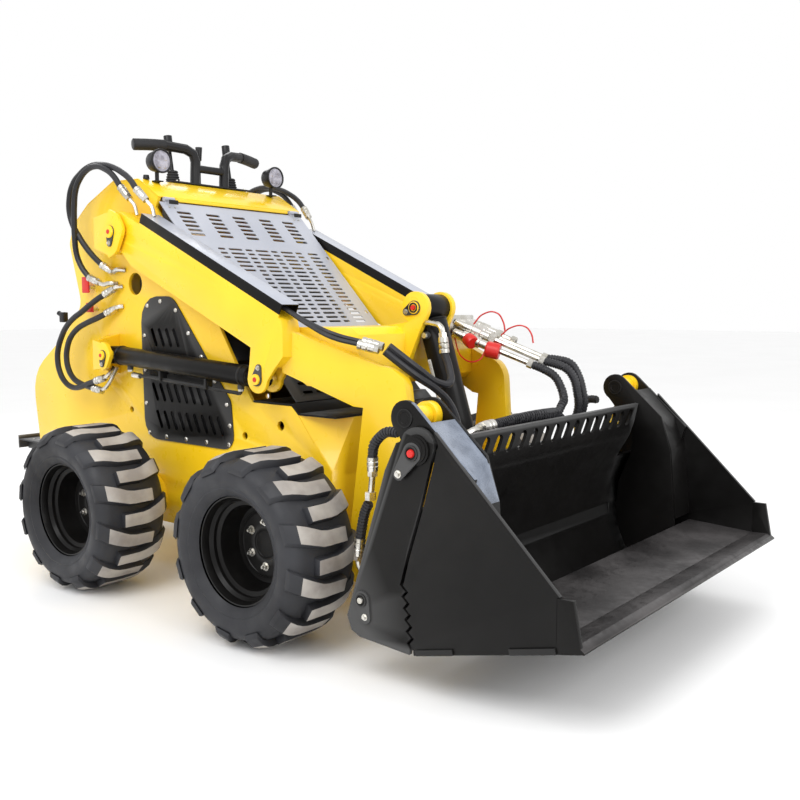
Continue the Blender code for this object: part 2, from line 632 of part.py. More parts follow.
def build_tilt_cylinder():
    barrel, rod = build_cylinder("tilt", 0.0, TILT_TOP, TILT_FOOT, TILT_BARREL_RADIUS, 0.019,
                                 2 * CLEVIS_X - 0.0014,
                                 0.085, BLACK)
    carry(joint_empty("tilt_swing", 0.0, TILT_TOP), barrel)
    carry(joint_empty("tilt_slide", 0.0, TILT_FOOT), rod)


def build_clam_cylinders():
    for side, sign in SIDES.items():
        x = sign * CLAM_CYLINDER_X
        barrel, rod = build_cylinder(f"clam_{side}", x, CLAM_FOOT, CLAM_TOP, CLAM_BARREL_RADIUS, 0.011,
                                     0.044, 0.105,
                                     YELLOW, CLAM_TRAVEL)
        bore = pin(f"clam_foot_bore_{side}", CLAM_FOOT, x - 0.05, x + 0.05, 0.010 + PIN_CLEAR)
        combine(barrel, [bore], "DIFFERENCE")
        carry(joint_empty(f"clam_swing_{side}", x, CLAM_FOOT), barrel)
        carry(joint_empty(f"clam_slide_{side}", x, CLAM_TOP), rod)


# ---- bucket ----------------------------------------------------------------------------------------
GROOVE = [(-0.525, 0.507), (-0.518, 0.477), (-0.492, 0.385), (-0.458, 0.280), (-0.446, 0.235)]
GROOVE_FOOT = (-0.468, 0.094)
GROOVE_HALF = 0.004
TEETH = 6
TOOTH = 0.006
CLAM_PIN_EAR = 0.045
MOULDBOARD = [(-0.462, 0.094), (-0.446, 0.120), (-0.424, 0.170), (-0.416, 0.230), (-0.424, 0.300),
              (-0.452, 0.370)]
MOULDBOARD_TOP = [(-0.452, 0.370), (-0.488, 0.430), (-0.502, 0.470), (-0.513, 0.521)]


def groove_edge(offset):
    """One edge of the split between the back section and the clam, toothed in its lower part."""
    edge = [(s + offset, z) for s, z in GROOVE]
    top, foot = Vector(GROOVE[-1]), Vector(GROOVE_FOOT)
    for i in range(1, 2 * TEETH):
        point = top.lerp(foot, i / (2 * TEETH))
        edge.append((point.x + offset + (TOOTH if i % 2 else -TOOTH), point.y))
    edge.append((foot.x + offset, foot.y))
    return edge


def build_bucket_back():
    """The back section: mouldboard, outer plates to the split, ribs and the coupling plate."""
    lower = plate("bucket_back", strip(MOULDBOARD, -0.008), -BUCKET_IN - 0.002, BUCKET_IN + 0.002)
    upper = plate("spill_guard", strip([MOULDBOARD[-2]] + MOULDBOARD_TOP, -0.008), -INNER_PLATE + 0.008,
                  INNER_PLATE - 0.008)
    shapes = [upper]
    rear_plate = (arc(CLAM_PIN, CLAM_PIN_EAR, 17, 160, 10) + groove_edge(GROOVE_HALF)
                  + [(-0.462, 0.082), (-0.330, 0.090), (-0.306, 0.100), (-0.294, 0.130), (-0.399, 0.454),
                     (-0.428, 0.512)])
    for side, sign in SIDES.items():
        shapes.append(plate(f"rear_plate_{side}", rear_plate, sign * BUCKET_IN, sign * BUCKET_HALF))
        shapes.append(pin(f"clam_boss_{side}", CLAM_PIN, sign * (BUCKET_IN - 0.034),
                          sign * (BUCKET_HALF + 0.010), 0.020))
        lug_in = INNER_PLATE + 0.012
        lug = arc(CLAM_FOOT, 0.024, -70, 110, 8) + [(-0.420, 0.230), (-0.420, 0.150)]
        shapes.append(plate(f"foot_lug_{side}", lug, sign * lug_in, sign * (lug_in + 0.008)))
        shapes.append(pin(f"foot_pin_{side}", CLAM_FOOT, sign * (lug_in + 0.004), sign * (BUCKET_IN + 0.004),
                          0.010))
    for k in (-1, 1):
        rib = [(-0.412, 0.160), (-0.345, 0.120), (-0.345, 0.420), (-0.470, 0.420), (-0.440, 0.360),
               (-0.412, 0.290)]
        for offset in (0.090, 0.235):
            shapes.append(plate(f"rib_{k}_{offset}", rib, k * offset, k * (offset + 0.010)))
    combine(lower, shapes)
    finish(lower, BLACK)
    return lower


def build_coupling():
    """The coupling plate on the bucket's back, with ears for the arm feet and the tilt rod."""
    face = -0.345 + SEAT
    slab = box("bucket_coupling", (-0.262, 0.262), (face, face + 0.012), (0.100, 0.425))
    shapes = []
    for k in (-1, 1):
        inner_x = forward_face(BUCKET_PIN[0] - 0.045) - FORWARD_ARM_THICK - EAR_CLEAR
        outer_x = forward_face(BUCKET_PIN[0] + 0.045) + EAR_CLEAR
        ear = arc(BUCKET_PIN, 0.032, -90, 70, 8) + [(face + 0.004, 0.220), (face + 0.004, 0.103)]
        shapes.append(plate(f"foot_ear_in_{k}", ear, k * inner_x, k * (inner_x - 0.012)))
        shapes.append(plate(f"foot_ear_out_{k}", ear, k * outer_x, k * (outer_x + 0.012)))
        shapes.append(pin(f"foot_pin_{k}", BUCKET_PIN, k * (inner_x - 0.018), k * (outer_x + 0.018), 0.014))
        rod_ear = arc(TILT_FOOT, 0.030, -80, 80, 8) + [(face + 0.004, 0.375), (face + 0.004, 0.240)]
        shapes.append(plate(f"rod_ear_{k}", rod_ear, k * CLEVIS_X, k * (CLEVIS_X + 0.012)))
        shapes.append(pin(f"rod_head_{k}", TILT_FOOT, k * (CLEVIS_X + 0.010), k * (CLEVIS_X + 0.018), 0.014))
    combine(slab, shapes)
    return finish(slab, BLACK)


def build_clam():
    """The clam: outer and inner plates, P1 ears, cap strips and the wedge floor."""
    wedge = [(-0.478, 0.090), (-0.625, 0.197), (-0.7967, 0.187), (-0.7967, 0.165)]
    floor = plate("bucket_clam", wedge, -BUCKET_IN - 0.003, BUCKET_IN + 0.003)
    shapes = []
    diagonal_top, diagonal_foot = (-0.5225, 0.5415), (-0.802, 0.269)
    outer = ([diagonal_top] + arc(CLAM_PIN, CLAM_PIN_EAR + 2 * GROOVE_HALF, 142, 168,
                                  4) + groove_edge(-GROOVE_HALF)
             + [(-0.474, 0.083), (-0.7967, 0.163), (-0.7967, 0.268), diagonal_foot])
    inner = (arc(CLAM_TOP, 0.036, -60, 132, 12) + [(-0.577, 0.4885), (-0.605, 0.400), (-0.622, 0.192),
                                                   (-0.500, 0.105),
             (-0.482, 0.120), (-0.462, 0.165), (-0.450, 0.225), (-0.458, 0.300), (-0.490, 0.375),
                                                   (-0.500, 0.440)])
    ear = (arc(CLAM_TOP, 0.036, -60, 132, 12) + [(-0.610, 0.4565), (-0.600, 0.420)] + arc(CLAM_PIN, 0.034,
                                                                                          215, 290, 6)
           + [(-0.440, 0.500)])
    for side, sign in SIDES.items():
        shapes.append(plate(f"clam_plate_{side}", outer, sign * BUCKET_IN, sign * BUCKET_HALF))
        shapes.append(plate(f"clam_inner_{side}", inner, sign * (INNER_PLATE - 0.004),
                            sign * (INNER_PLATE + 0.004)))
        doubler = plate(f"clam_ear_{side}", ear, sign * (BUCKET_IN - 0.012), sign * (BUCKET_IN - 0.002))
        shapes.append(doubler)
        joint = plate(f"clam_seam_{side}", [(-0.545, 0.5155), (-0.606, 0.456), (-0.600, 0.425),
                                            (-0.545, 0.470)],
                      sign * (BUCKET_IN - 0.004), sign * (BUCKET_IN + 0.002))
        shapes.append(joint)
        cap_path = [(-0.500, 0.5565), (-0.579, 0.4815), (-0.607, 0.400), (-0.625, 0.215)]
        shapes.append(plate(f"clam_cap_{side}", strip(cap_path[::-1], -0.006), sign * INNER_PLATE,
                            sign * (BUCKET_IN + 0.002)))
    combine(floor, shapes)
    bores = [pin(f"clam_bore_{k}", CLAM_PIN, k * (BUCKET_IN - 0.025), k * (BUCKET_HALF + 0.02),
                 0.020 + PIN_CLEAR)
             for k in (-1, 1)]
    combine(floor, bores, "DIFFERENCE")
    finish(floor, BLACK)
    blade_outline = [(-0.797, 0.163), (-0.797, 0.187), (-0.838, 0.189), (-LIP_FRONT, 0.178),
                     (-LIP_FRONT, 0.175)]
    blade = plate("cutting_edge", blade_outline, -BUCKET_HALF, BUCKET_HALF)
    cutters = [plate(f"side_cutter_{k}", [(-0.7973, 0.163), (-0.7973, 0.267), (-0.829, 0.267),
                                          (-0.846, 0.178)],
                     k * BUCKET_IN, k * BUCKET_HALF) for k in (-1, 1)]
    combine(blade, cutters)
    finish(blade, BLACK)
    return floor, blade


# ---- hoses -----------------------------------------------------------------------------------------
HOSE_RADIUS = 0.0095
UPPER_HOSES = [
    [(0.744, 1.128), (0.777, 1.162), (0.819, 1.186), (0.868, 1.198), (0.914, 1.191), (0.955, 1.167),
     (0.980, 1.137),
     (0.993, 1.096), (1.001, 1.047), (1.007, 0.998), (1.007, 0.948), (0.991, 0.908), (0.961, 0.874),
     (0.915, 0.858)],
    [(0.680, 1.118), (0.709, 1.147), (0.750, 1.172), (0.797, 1.191), (0.851, 1.202), (0.907, 1.204),
     (0.961, 1.188),
     (1.010, 1.155), (1.035, 1.110), (1.040, 1.072), (1.030, 1.038), (1.010, 1.006), (0.978, 0.972),
     (0.945, 0.940),
     (0.905, 0.908), (0.870, 0.884)]]
LOWER_HOSES = [
    [(0.860, 0.824), (0.892, 0.822), (0.922, 0.808), (0.956, 0.789), (0.991, 0.768), (1.027, 0.748),
     (1.060, 0.722),
     (1.090, 0.688), (1.111, 0.650), (1.116, 0.614), (1.106, 0.580), (1.080, 0.550), (1.041, 0.534),
     (1.000, 0.535),
     (0.945, 0.550), (0.899, 0.558), (0.855, 0.560)],
    [(0.840, 0.787), (0.864, 0.776), (0.896, 0.761), (0.934, 0.748), (0.974, 0.735), (1.014, 0.716),
     (1.043, 0.690),
     (1.063, 0.660), (1.071, 0.626), (1.062, 0.590), (1.036, 0.562), (1.000, 0.548), (0.960, 0.538),
     (0.905, 0.530),
     (0.860, 0.528)]]


def build_hoses(side):
    """The boom's and the lift cylinder's hoses, held by the plate that they leave."""
    sign = SIDES[side]
    face = BODY_HALF + SEAT
    block = box(f"hoses_{side}", sorted((sign * face, sign * (face + 0.020))), (0.832, 0.925),
                (0.776, 0.895))
    tubes = []
    for i, route in enumerate(UPPER_HOSES):
        last = len(route) - 1
        path = [(sign * (0.345 - 0.036 * (k / last) ** 3 - 0.008 * i), s, z) for k,
                (s, z) in enumerate(route)]
        path.append((sign * (face + 0.0150), path[-1][1] - 0.012, path[-1][2] - 0.004))
        tubes.append(tube(f"upper_hose_{side}_{i}", path, HOSE_RADIUS))
    for i, route in enumerate(LOWER_HOSES):
        path = [(sign * (face + 0.0150), route[0][0] - 0.004, route[0][1] + 0.002)]
        last = len(route) - 1
        path += [(sign * (0.305 + 0.035 * min(1.0, 3 * k / last) - 0.004 * i), s, z) for k,
                 (s, z) in enumerate(route)]
        tubes.append(tube(f"lower_hose_{side}_{i}", path, HOSE_RADIUS))
    combine(block, tubes)
    finish(block, BLACK, "rubber")


# ---- the machine -----------------------------------------------------------------------------------
for wheel_end in ("front", "rear"):
    for wheel_side in SIDES:
        build_wheel(wheel_end, wheel_side)
for body_side in SIDES:
    build_side(body_side)
    build_bracket(f"boom_bracket_{body_side}", BOOM_PIVOT, body_side, 1.0, 0.085, 0.018)
    build_bracket(f"cylinder_bracket_{body_side}", LIFT_BASE, body_side, 0.62, 0.052, 0.014)
    build_hoses(body_side)
build_chassis()
build_controls()
build_bonnet()
build_boom()
build_lift_cylinders()
build_tilt_cylinder()
carry(joint_empty("bucket_tilt_pivot", 0.0, BUCKET_PIN), build_bucket_back(), build_coupling())
carry(joint_empty("clam_pivot", 0.0, CLAM_PIN), *build_clam())
build_clam_cylinders()
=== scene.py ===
# %% [markdown]
# # A mini skid steer loader
# A walk-behind loader with four lugged tyres, two lift arms, a bucket in two halves and a sloped
# bonnet. The engineering model is loaded first and stays where it is. Every cell after that dresses
# one part of it: a mesh is copied, merged, given soft edges, slots and a painted finish.

# %% Load the engineering model
import json
import math

import bmesh
import bpy
from mathutils import Matrix, Vector
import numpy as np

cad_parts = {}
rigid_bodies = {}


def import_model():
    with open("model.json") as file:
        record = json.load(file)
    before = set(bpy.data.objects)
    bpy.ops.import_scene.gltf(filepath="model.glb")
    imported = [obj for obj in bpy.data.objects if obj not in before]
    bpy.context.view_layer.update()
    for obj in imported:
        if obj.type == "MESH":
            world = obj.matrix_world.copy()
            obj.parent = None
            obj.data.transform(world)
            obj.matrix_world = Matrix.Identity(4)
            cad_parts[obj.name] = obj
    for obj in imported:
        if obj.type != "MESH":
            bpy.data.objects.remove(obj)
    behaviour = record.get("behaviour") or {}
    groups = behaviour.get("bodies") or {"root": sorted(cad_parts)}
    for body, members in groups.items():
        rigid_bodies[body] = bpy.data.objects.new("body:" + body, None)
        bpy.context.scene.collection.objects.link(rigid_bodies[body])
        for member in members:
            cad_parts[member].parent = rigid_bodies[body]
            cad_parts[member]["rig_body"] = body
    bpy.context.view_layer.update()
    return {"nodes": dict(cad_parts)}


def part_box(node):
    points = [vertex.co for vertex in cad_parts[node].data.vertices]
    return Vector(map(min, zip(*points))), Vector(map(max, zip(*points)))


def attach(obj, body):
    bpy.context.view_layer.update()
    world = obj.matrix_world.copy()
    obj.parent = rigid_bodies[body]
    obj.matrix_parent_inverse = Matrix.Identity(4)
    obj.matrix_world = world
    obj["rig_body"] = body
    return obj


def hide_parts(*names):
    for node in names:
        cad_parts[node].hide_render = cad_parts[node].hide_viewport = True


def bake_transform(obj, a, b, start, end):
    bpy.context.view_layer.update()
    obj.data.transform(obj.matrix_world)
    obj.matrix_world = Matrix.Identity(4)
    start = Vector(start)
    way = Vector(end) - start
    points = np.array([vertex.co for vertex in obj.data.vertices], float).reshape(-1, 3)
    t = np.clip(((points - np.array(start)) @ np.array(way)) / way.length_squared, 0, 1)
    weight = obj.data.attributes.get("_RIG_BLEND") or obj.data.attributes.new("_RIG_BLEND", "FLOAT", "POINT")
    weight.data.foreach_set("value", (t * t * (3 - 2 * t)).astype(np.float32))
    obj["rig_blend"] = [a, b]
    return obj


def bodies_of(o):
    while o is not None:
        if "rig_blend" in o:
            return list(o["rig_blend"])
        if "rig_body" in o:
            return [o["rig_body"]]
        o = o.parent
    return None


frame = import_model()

front_low, front_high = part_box("tyre_front_right")
FRONT_AXLE_Y = (front_low[1] + front_high[1]) / 2
AXLE_Z = (front_low[2] + front_high[2]) / 2
SIDES = {"right": -1, "left": 1}
# Pins, by their distance behind the front axle and their height, then the x of the planes that the
# parts lie in, then each kind of cylinder: its tube's radius, its rod's and the gland's setback.
BOOM_PIN, LIFT_BASE, KNEE_PIN = (0.763, 1.000), (0.820, 0.642), (0.172, 0.600)
TILT_TOP, TILT_FOOT = (-0.110, 0.782), (-0.2635, 0.3065)
CLAM_PIN, CLAM_TOP, CLAM_FOOT = (-0.481, 0.503), (-0.441, 0.562), (-0.336, 0.171)
BODY_HALF, ARM_MID, CLAM_MID, LAMP_X, LEVER_X = 0.284, 0.322, 0.4732, 0.229, 0.116
LIFT_TUBE, TILT_TUBE, CLAM_TUBE = (0.0275, 0.014, 0.056), (0.0375, 0.019, 0.085), (0.021, 0.011, 0.105)
print("front axle at y", round(FRONT_AXLE_Y, 4), "z", round(AXLE_Z, 4))


def place(x, s, z):
    """A point from its x, its distance behind the front axle and its height."""
    return Vector((x, s + FRONT_AXLE_Y, z))


def route(sign, *points):
    """Points given as place takes them, on the side that a sign picks."""
    return [place(sign * x, s, z) for x, s, z in points]


def upward(run):
    """The upward normal of a sheet that slopes along a run."""
    normal = Vector((-1, 0, 0)).cross(run)
    return normal if normal.z > 0 else -normal


def outer_face(node, sign):
    """The x of an engineering node's outer face on one side."""
    low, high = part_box(node)
    return low.x if sign < 0 else high.x


# %% [markdown]
# ## Camera, floor and light
# The machine stands on a pale studio floor. The camera is low, in front of its right side. Big soft
# lights give sheet metal its long highlights: one high on the left, one in front for the bucket and
# one behind for the edges.

# %% Camera, floor and lights
world = bpy.data.worlds.new("studio")
world.use_nodes = True
world.node_tree.nodes["Background"].inputs["Color"].default_value = (1.0, 1.0, 1.0, 1.0)
world.node_tree.nodes["Background"].inputs["Strength"].default_value = 1.0
bpy.context.scene.world = world
bpy.context.scene.view_settings.view_transform = "Standard"

camera_data = bpy.data.cameras.new("camera")
camera_data.lens = 41.69
camera_data.sensor_width = 36.0
camera = bpy.data.objects.new("camera", camera_data)
camera.location = (-1.9567, -1.9090, 0.7808)
camera.rotation_euler = (math.radians(84.338), 0.0, math.radians(-51.188))
bpy.context.scene.collection.objects.link(camera)
bpy.context.scene.camera = camera


def soft_light(name, at, target, size, power):
    """A square area light at a point, turned towards a target."""
    data = bpy.data.lights.new(name, "AREA")
    data.shape = "SQUARE"
    data.size = size
    data.energy = power
    lamp = bpy.data.objects.new(name, data)
    lamp.location = at
    lamp.rotation_euler = (Vector(target) - Vector(at)).to_track_quat("-Z", "Y").to_euler()
    bpy.context.scene.collection.objects.link(lamp)


soft_light("key_light", (-2.6, -0.6, 3.2), (0.0, 0.0, 0.5), 2.2, 66)
soft_light("front_light", (-0.6, -3.6, 1.9), (0.0, -0.6, 0.4), 1.8, 38)
soft_light("rim_light", (1.4, 2.8, 2.8), (0.0, 0.0, 0.8), 2.0, 34)

floor_shape = bmesh.new()
bmesh.ops.create_grid(floor_shape, x_segments=1, y_segments=1, size=30.0)
floor_mesh = bpy.data.meshes.new("studio_floor")
floor_shape.to_mesh(floor_mesh)
floor_shape.free()
floor = bpy.data.objects.new("studio_floor", floor_mesh)
bpy.context.scene.collection.objects.link(floor)
print("camera and", len(bpy.data.lights), "lights")

# %% [markdown]
# ## Finishes
# Paint, rubber and plated steel share one recipe. A broad noise shifts the colour a little, as
# uneven spraying and dust do. A fine noise moves the roughness and raises a slight skin, such as the
# peel of sprayed paint. Where the metal turns over an edge the finish is a little worn, and the
# mesh's own pointiness finds those edges.

# %% Finishes


def make_finish(name, dark, light, rough, metallic=0.0, coat=0.0, broad=3.0, fine=220.0, skin=0.03,
                worn=None, worn_from=0.56, gloss=0.5):
    """A painted, plated or moulded finish: two tones, a roughness range and a raised skin."""
    made = bpy.data.materials.new(name)
    made.use_nodes = True
    tree = made.node_tree
    nodes, links = tree.nodes, tree.links
    shader = nodes["Principled BSDF"]
    shader.inputs["Metallic"].default_value = metallic
    shader.inputs["Coat Weight"].default_value = coat
    shader.inputs["Coat Roughness"].default_value = 0.08
    shader.inputs["Specular IOR Level"].default_value = gloss
    where = nodes.new("ShaderNodeTexCoord")

    def noise(scale, detail):
        node = nodes.new("ShaderNodeTexNoise")
        node.inputs["Scale"].default_value = scale
        node.inputs["Detail"].default_value = detail
        links.new(where.outputs["Object"], node.inputs["Vector"])
        return node.outputs["Fac"]

    def spread(value, low, high, out_low, out_high):
        node = nodes.new("ShaderNodeMapRange")
        sockets = ("From Min", "From Max", "To Min", "To Max")
        for socket, number in zip(sockets, (low, high, out_low, out_high)):
            node.inputs[socket].default_value = number
        links.new(value, node.inputs["Value"])
        return node.outputs["Result"]

    def blend(amount, first, second):
        node = nodes.new("ShaderNodeMix")
        node.data_type = "RGBA"
        links.new(amount, node.inputs["Factor"])
        sockets = [s for s in node.inputs if s.type == "RGBA"]
        for socket, colour in zip(sockets, (first, second)):
            if isinstance(colour, tuple):
                socket.default_value = (*colour, 1.0)
            else:
                links.new(colour, socket)
        return [s for s in node.outputs if s.type == "RGBA"][0]

    colour = blend(spread(noise(broad, 4.0), 0.35, 0.65, 0.0, 1.0), dark, light)
    if worn:
        geometry = nodes.new("ShaderNodeNewGeometry")
        edge = spread(geometry.outputs["Pointiness"], worn_from, worn_from + 0.05, 0.0, 0.75)
        colour = blend(edge, colour, worn)
    links.new(colour, shader.inputs["Base Color"])
    links.new(spread(noise(broad * 9, 3.0), 0.3, 0.7, *rough), shader.inputs["Roughness"])
    bump = nodes.new("ShaderNodeBump")
    bump.inputs["Strength"].default_value = skin
    bump.inputs["Distance"].default_value = 0.002
    links.new(noise(fine, 2.0), bump.inputs["Height"])
    links.new(bump.outputs["Normal"], shader.inputs["Normal"])
    return made


FINISH = {
    "yellow": make_finish("yellow_paint", (0.91, 0.57, 0.010), (0.98, 0.64, 0.018), (0.26, 0.36), coat=0.25),
    "black": make_finish("black_paint", (0.0035, 0.0032, 0.0030), (0.0080, 0.0074, 0.0070), (0.30, 0.46),
                         coat=0.05, worn=(0.09, 0.09, 0.09), gloss=0.15),
    # gray: the bonnet's sheet, and painted glare on the upward faces of the dark hose guards.
    "gray": make_finish("gray_paint", (0.36, 0.38, 0.44), (0.44, 0.46, 0.52), (0.30, 0.42), coat=0.15),
    # cap: a painted reflection of the sky on the black paint of the near pocket's cap.
    "cap": make_finish("painted_sky_reflection", (0.10, 0.12, 0.16), (0.20, 0.23, 0.29), (0.22, 0.36), coat=0.25,
                       broad=22),
    "rubber": make_finish("tyre_rubber", (0.010, 0.010, 0.012), (0.032, 0.033, 0.038), (0.42, 0.66), fine=160,
                          skin=0.10, gloss=0.35),
    "lug": make_finish("lug_rubber", (0.27, 0.245, 0.225), (0.43, 0.40, 0.365), (0.60, 0.80), broad=14,
                       fine=150, skin=0.25),
    "hose": make_finish("hose_rubber", (0.010, 0.010, 0.012), (0.028, 0.028, 0.032), (0.32, 0.5), fine=400,
                        skin=0.12, gloss=0.35),
    "grip": make_finish("grip_rubber", (0.012, 0.012, 0.013), (0.026, 0.026, 0.028), (0.55, 0.72), fine=500,
                        skin=0.2, gloss=0.3),
    "plastic": make_finish("black_plastic", (0.006, 0.006, 0.007), (0.016, 0.016, 0.018), (0.30, 0.45),
                           fine=600, skin=0.08, gloss=0.3),
    "chrome": make_finish("chrome_rod", (0.70, 0.71, 0.72), (0.82, 0.82, 0.83), (0.06, 0.14), metallic=1.0,
                          fine=900, skin=0.01),
    "zinc": make_finish("zinc_plate", (0.52, 0.50, 0.44), (0.74, 0.72, 0.68), (0.22, 0.40), metallic=1.0,
                        broad=25, skin=0.05),
    "red": make_finish("red_plastic", (0.52, 0.010, 0.008), (0.66, 0.020, 0.014), (0.30, 0.42), fine=500),
    "steel": make_finish("scuffed_steel", (0.022, 0.020, 0.020), (0.075, 0.070, 0.070), (0.28, 0.55),
                         metallic=0.30, broad=7, fine=90, skin=0.10, worn=(0.30, 0.29, 0.27), worn_from=0.54,
                         gloss=0.35),
    "tread": make_finish("tread_plate", (0.030, 0.030, 0.032), (0.060, 0.060, 0.062), (0.35, 0.5),
                         metallic=0.3, worn=(0.35, 0.35, 0.34), worn_from=0.53),
    "lens": make_finish("lamp_lens", (0.20, 0.19, 0.23), (0.46, 0.45, 0.52), (0.05, 0.12), metallic=0.3,
                        coat=1.0, broad=60, skin=0.02),
    "floor": make_finish("pale_floor", (0.94, 0.94, 0.94), (0.96, 0.96, 0.96), (0.55, 0.7), broad=1.2,
                         fine=40, skin=0.005)}
floor_mesh.materials.append(FINISH["floor"])
print(len(FINISH), "finishes")

# %% [markdown]
# ## Helpers for the pieces
# `keep` turns a finished shape into an object that rides on its body. `recast` copies an engineering
# mesh, merges its loose triangles, dissolves the flat ones and rounds the sharp edges, as a laser-cut
# and painted plate has. `carved` first cuts slots into it. Rods, blocks and bolts come from bmesh's
# own primitives.

# %% Helpers
SMOOTH_ANGLE, SHARP_ANGLE, FLAT_ANGLE = math.radians(32), math.radians(38), math.radians(0.6)
SEAM = 0.00002


def paint(faces, material):
    """Give faces one of their piece's materials by its number."""
    for face in faces:
        face.material_index = material


def settle(shape, before, material):
    """Merge the seams of the faces that were added since a set was taken, turn them out and paint them."""
    seams = list({v for f in shape.faces if f not in before for v in f.verts})
    bmesh.ops.remove_doubles(shape, verts=seams, dist=SEAM)
    faces = [f for f in shape.faces if f not in before]
    bmesh.ops.recalc_face_normals(shape, faces=faces)
    paint(faces, material)


def keep(name, shape, finishes, body, replaces=(), blend=None):
    """Make a shape an object in place, riding on a body, with its finishes."""
    if isinstance(finishes, str):
        finishes = [finishes]
    for face in shape.faces:
        face.smooth = True
    for edge in shape.edges:
        edge.smooth = not (len(edge.link_faces) == 2 and edge.calc_face_angle(0.0) > SMOOTH_ANGLE)
    mesh = bpy.data.meshes.new(name)
    shape.to_mesh(mesh)
    shape.free()
    for each in finishes:
        mesh.materials.append(FINISH[each])
    piece = bpy.data.objects.new(name, mesh)
    bpy.context.scene.collection.objects.link(piece)
    if blend:
        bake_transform(piece, *body, start=blend[0], end=blend[1])
    else:
        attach(piece, body)
    if replaces:
        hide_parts(*replaces)
    return piece


def rod(shape, start, end, radius, end_radius=None, sides=20, material=0):
    """Add a rod or cone between two points."""
    start, end = Vector(start), Vector(end)
    turn = (end - start).to_track_quat("Z", "Y").to_matrix().to_4x4()
    made = bmesh.ops.create_cone(shape, cap_ends=True, segments=sides, radius1=radius,
        radius2=radius if end_radius is None else end_radius, depth=(end - start).length,
        matrix=Matrix.Translation((start + end) / 2) @ turn)
    paint({f for v in made["verts"] for f in v.link_faces}, material)


def block(shape, low, high, bevel=0.0, material=0):
    """Add a box between two corners, with its edges rounded."""
    low, high = Vector(low), Vector(high)
    size = Matrix.Diagonal((*[abs(a) for a in high - low], 1.0))
    made = bmesh.ops.create_cube(shape, size=1.0, matrix=Matrix.Translation((low + high) / 2) @ size)
    paint({f for v in made["verts"] for f in v.link_faces}, material)
    if bevel:
        edges = list({e for v in made["verts"] for e in v.link_edges})
        bmesh.ops.bevel(shape, geom=edges, offset=bevel, affect="EDGES", segments=2, profile=0.5, material=-1)


def lathe(shape, profile, centre, axis, steps=48, material=0):
    """Add a shape turned about an axis from (distance along it, radius) points."""
    axis = Vector(axis).normalized()
    turn = axis.to_track_quat("Z", "Y").to_matrix()
    points = [shape.verts.new(Vector(centre) + turn @ Vector((radius, 0.0, along))) for along,
        radius in profile]
    edges = [shape.edges.new(pair) for pair in zip(points, points[1:])]
    before = set(shape.faces)
    bmesh.ops.spin(shape, geom=points + edges, cent=centre, axis=axis, angle=math.tau, steps=steps,
                   use_merge=True)
    settle(shape, before, material)


def bolt(shape, at, normal, size, material=0):
    """Add a hexagon head with its washer, standing on a surface."""
    at, normal = Vector(at), Vector(normal).normalized()
    rod(shape, at, at + normal * size * 0.18, size * 0.92, sides=16, material=material)
    rod(shape, at + normal * size * 0.16, at + normal * size * 0.72, size * 0.66, size * 0.60, 6, material)


def merged(node):
    """A merged copy of an engineering mesh, with its flat triangles dissolved."""
    shape = bmesh.new()
    shape.from_mesh(frame["nodes"][node].data)
    bmesh.ops.remove_doubles(shape, verts=shape.verts, dist=0.00001)
    bmesh.ops.dissolve_limit(shape, angle_limit=FLAT_ANGLE, verts=shape.verts, edges=shape.edges,
                             delimit={"NORMAL"})
    return shape


def carved(shape, cutters):
    """A shape with the cutters' volume taken out of it, and the cutters freed."""
    pair = []
    for label, each in (("carved_body", shape), ("carved_cutters", cutters)):
        mesh = bpy.data.meshes.new(label)
        each.to_mesh(mesh)
        each.free()
        pair.append(bpy.data.objects.new(label, mesh))
        bpy.context.scene.collection.objects.link(pair[-1])
    step = pair[0].modifiers.new("cut", "BOOLEAN")
    step.operation = "DIFFERENCE"
    step.object = pair[1]
    step.solver = "EXACT"
    bpy.context.view_layer.update()
    result = bmesh.new()
    result.from_object(pair[0], bpy.context.evaluated_depsgraph_get())
    for each in pair:
        bpy.data.meshes.remove(each.data)
    bmesh.ops.remove_doubles(result, verts=result.verts, dist=0.00001)
    bmesh.ops.dissolve_limit(result, angle_limit=FLAT_ANGLE, verts=result.verts, edges=result.edges,
                             delimit={"NORMAL", "MATERIAL"})
    return result


def softened(shape, width):
    """Round a shape's sharp edges by a width."""
    sharp = [e for e in shape.edges if len(e.link_faces) == 2 and e.calc_face_angle(0.0) > SHARP_ANGLE]
    bmesh.ops.bevel(shape, geom=sharp, offset=width, offset_type="OFFSET", affect="EDGES", segments=2,
                    profile=0.5, material=-1, clamp_overlap=True, loop_slide=True)


def body_of(node):
    """The body that an engineering node rides on."""
    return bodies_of(frame["nodes"][node])[0]


def recast(node, finishes, width=0.0012, cutters=None, pick=None, split=None):
    """Replace an engineering node by a merged, softened and, where asked, slotted copy."""
    shape = merged(node)
    if cutters:
        shape = carved(shape, cutters)
    if width:
        softened(shape, width)
    if split:
        everything = list(shape.verts) + list(shape.edges) + list(shape.faces)
        bmesh.ops.bisect_plane(shape, geom=everything, plane_co=split[0], plane_no=split[1])
    if pick:
        for face in shape.faces:
            face.material_index = pick(face)
    piece = keep(node + "_shell", shape, finishes, body_of(node), replaces=(node,))
    print(piece.name, len(piece.data.polygons), "faces")
    return piece


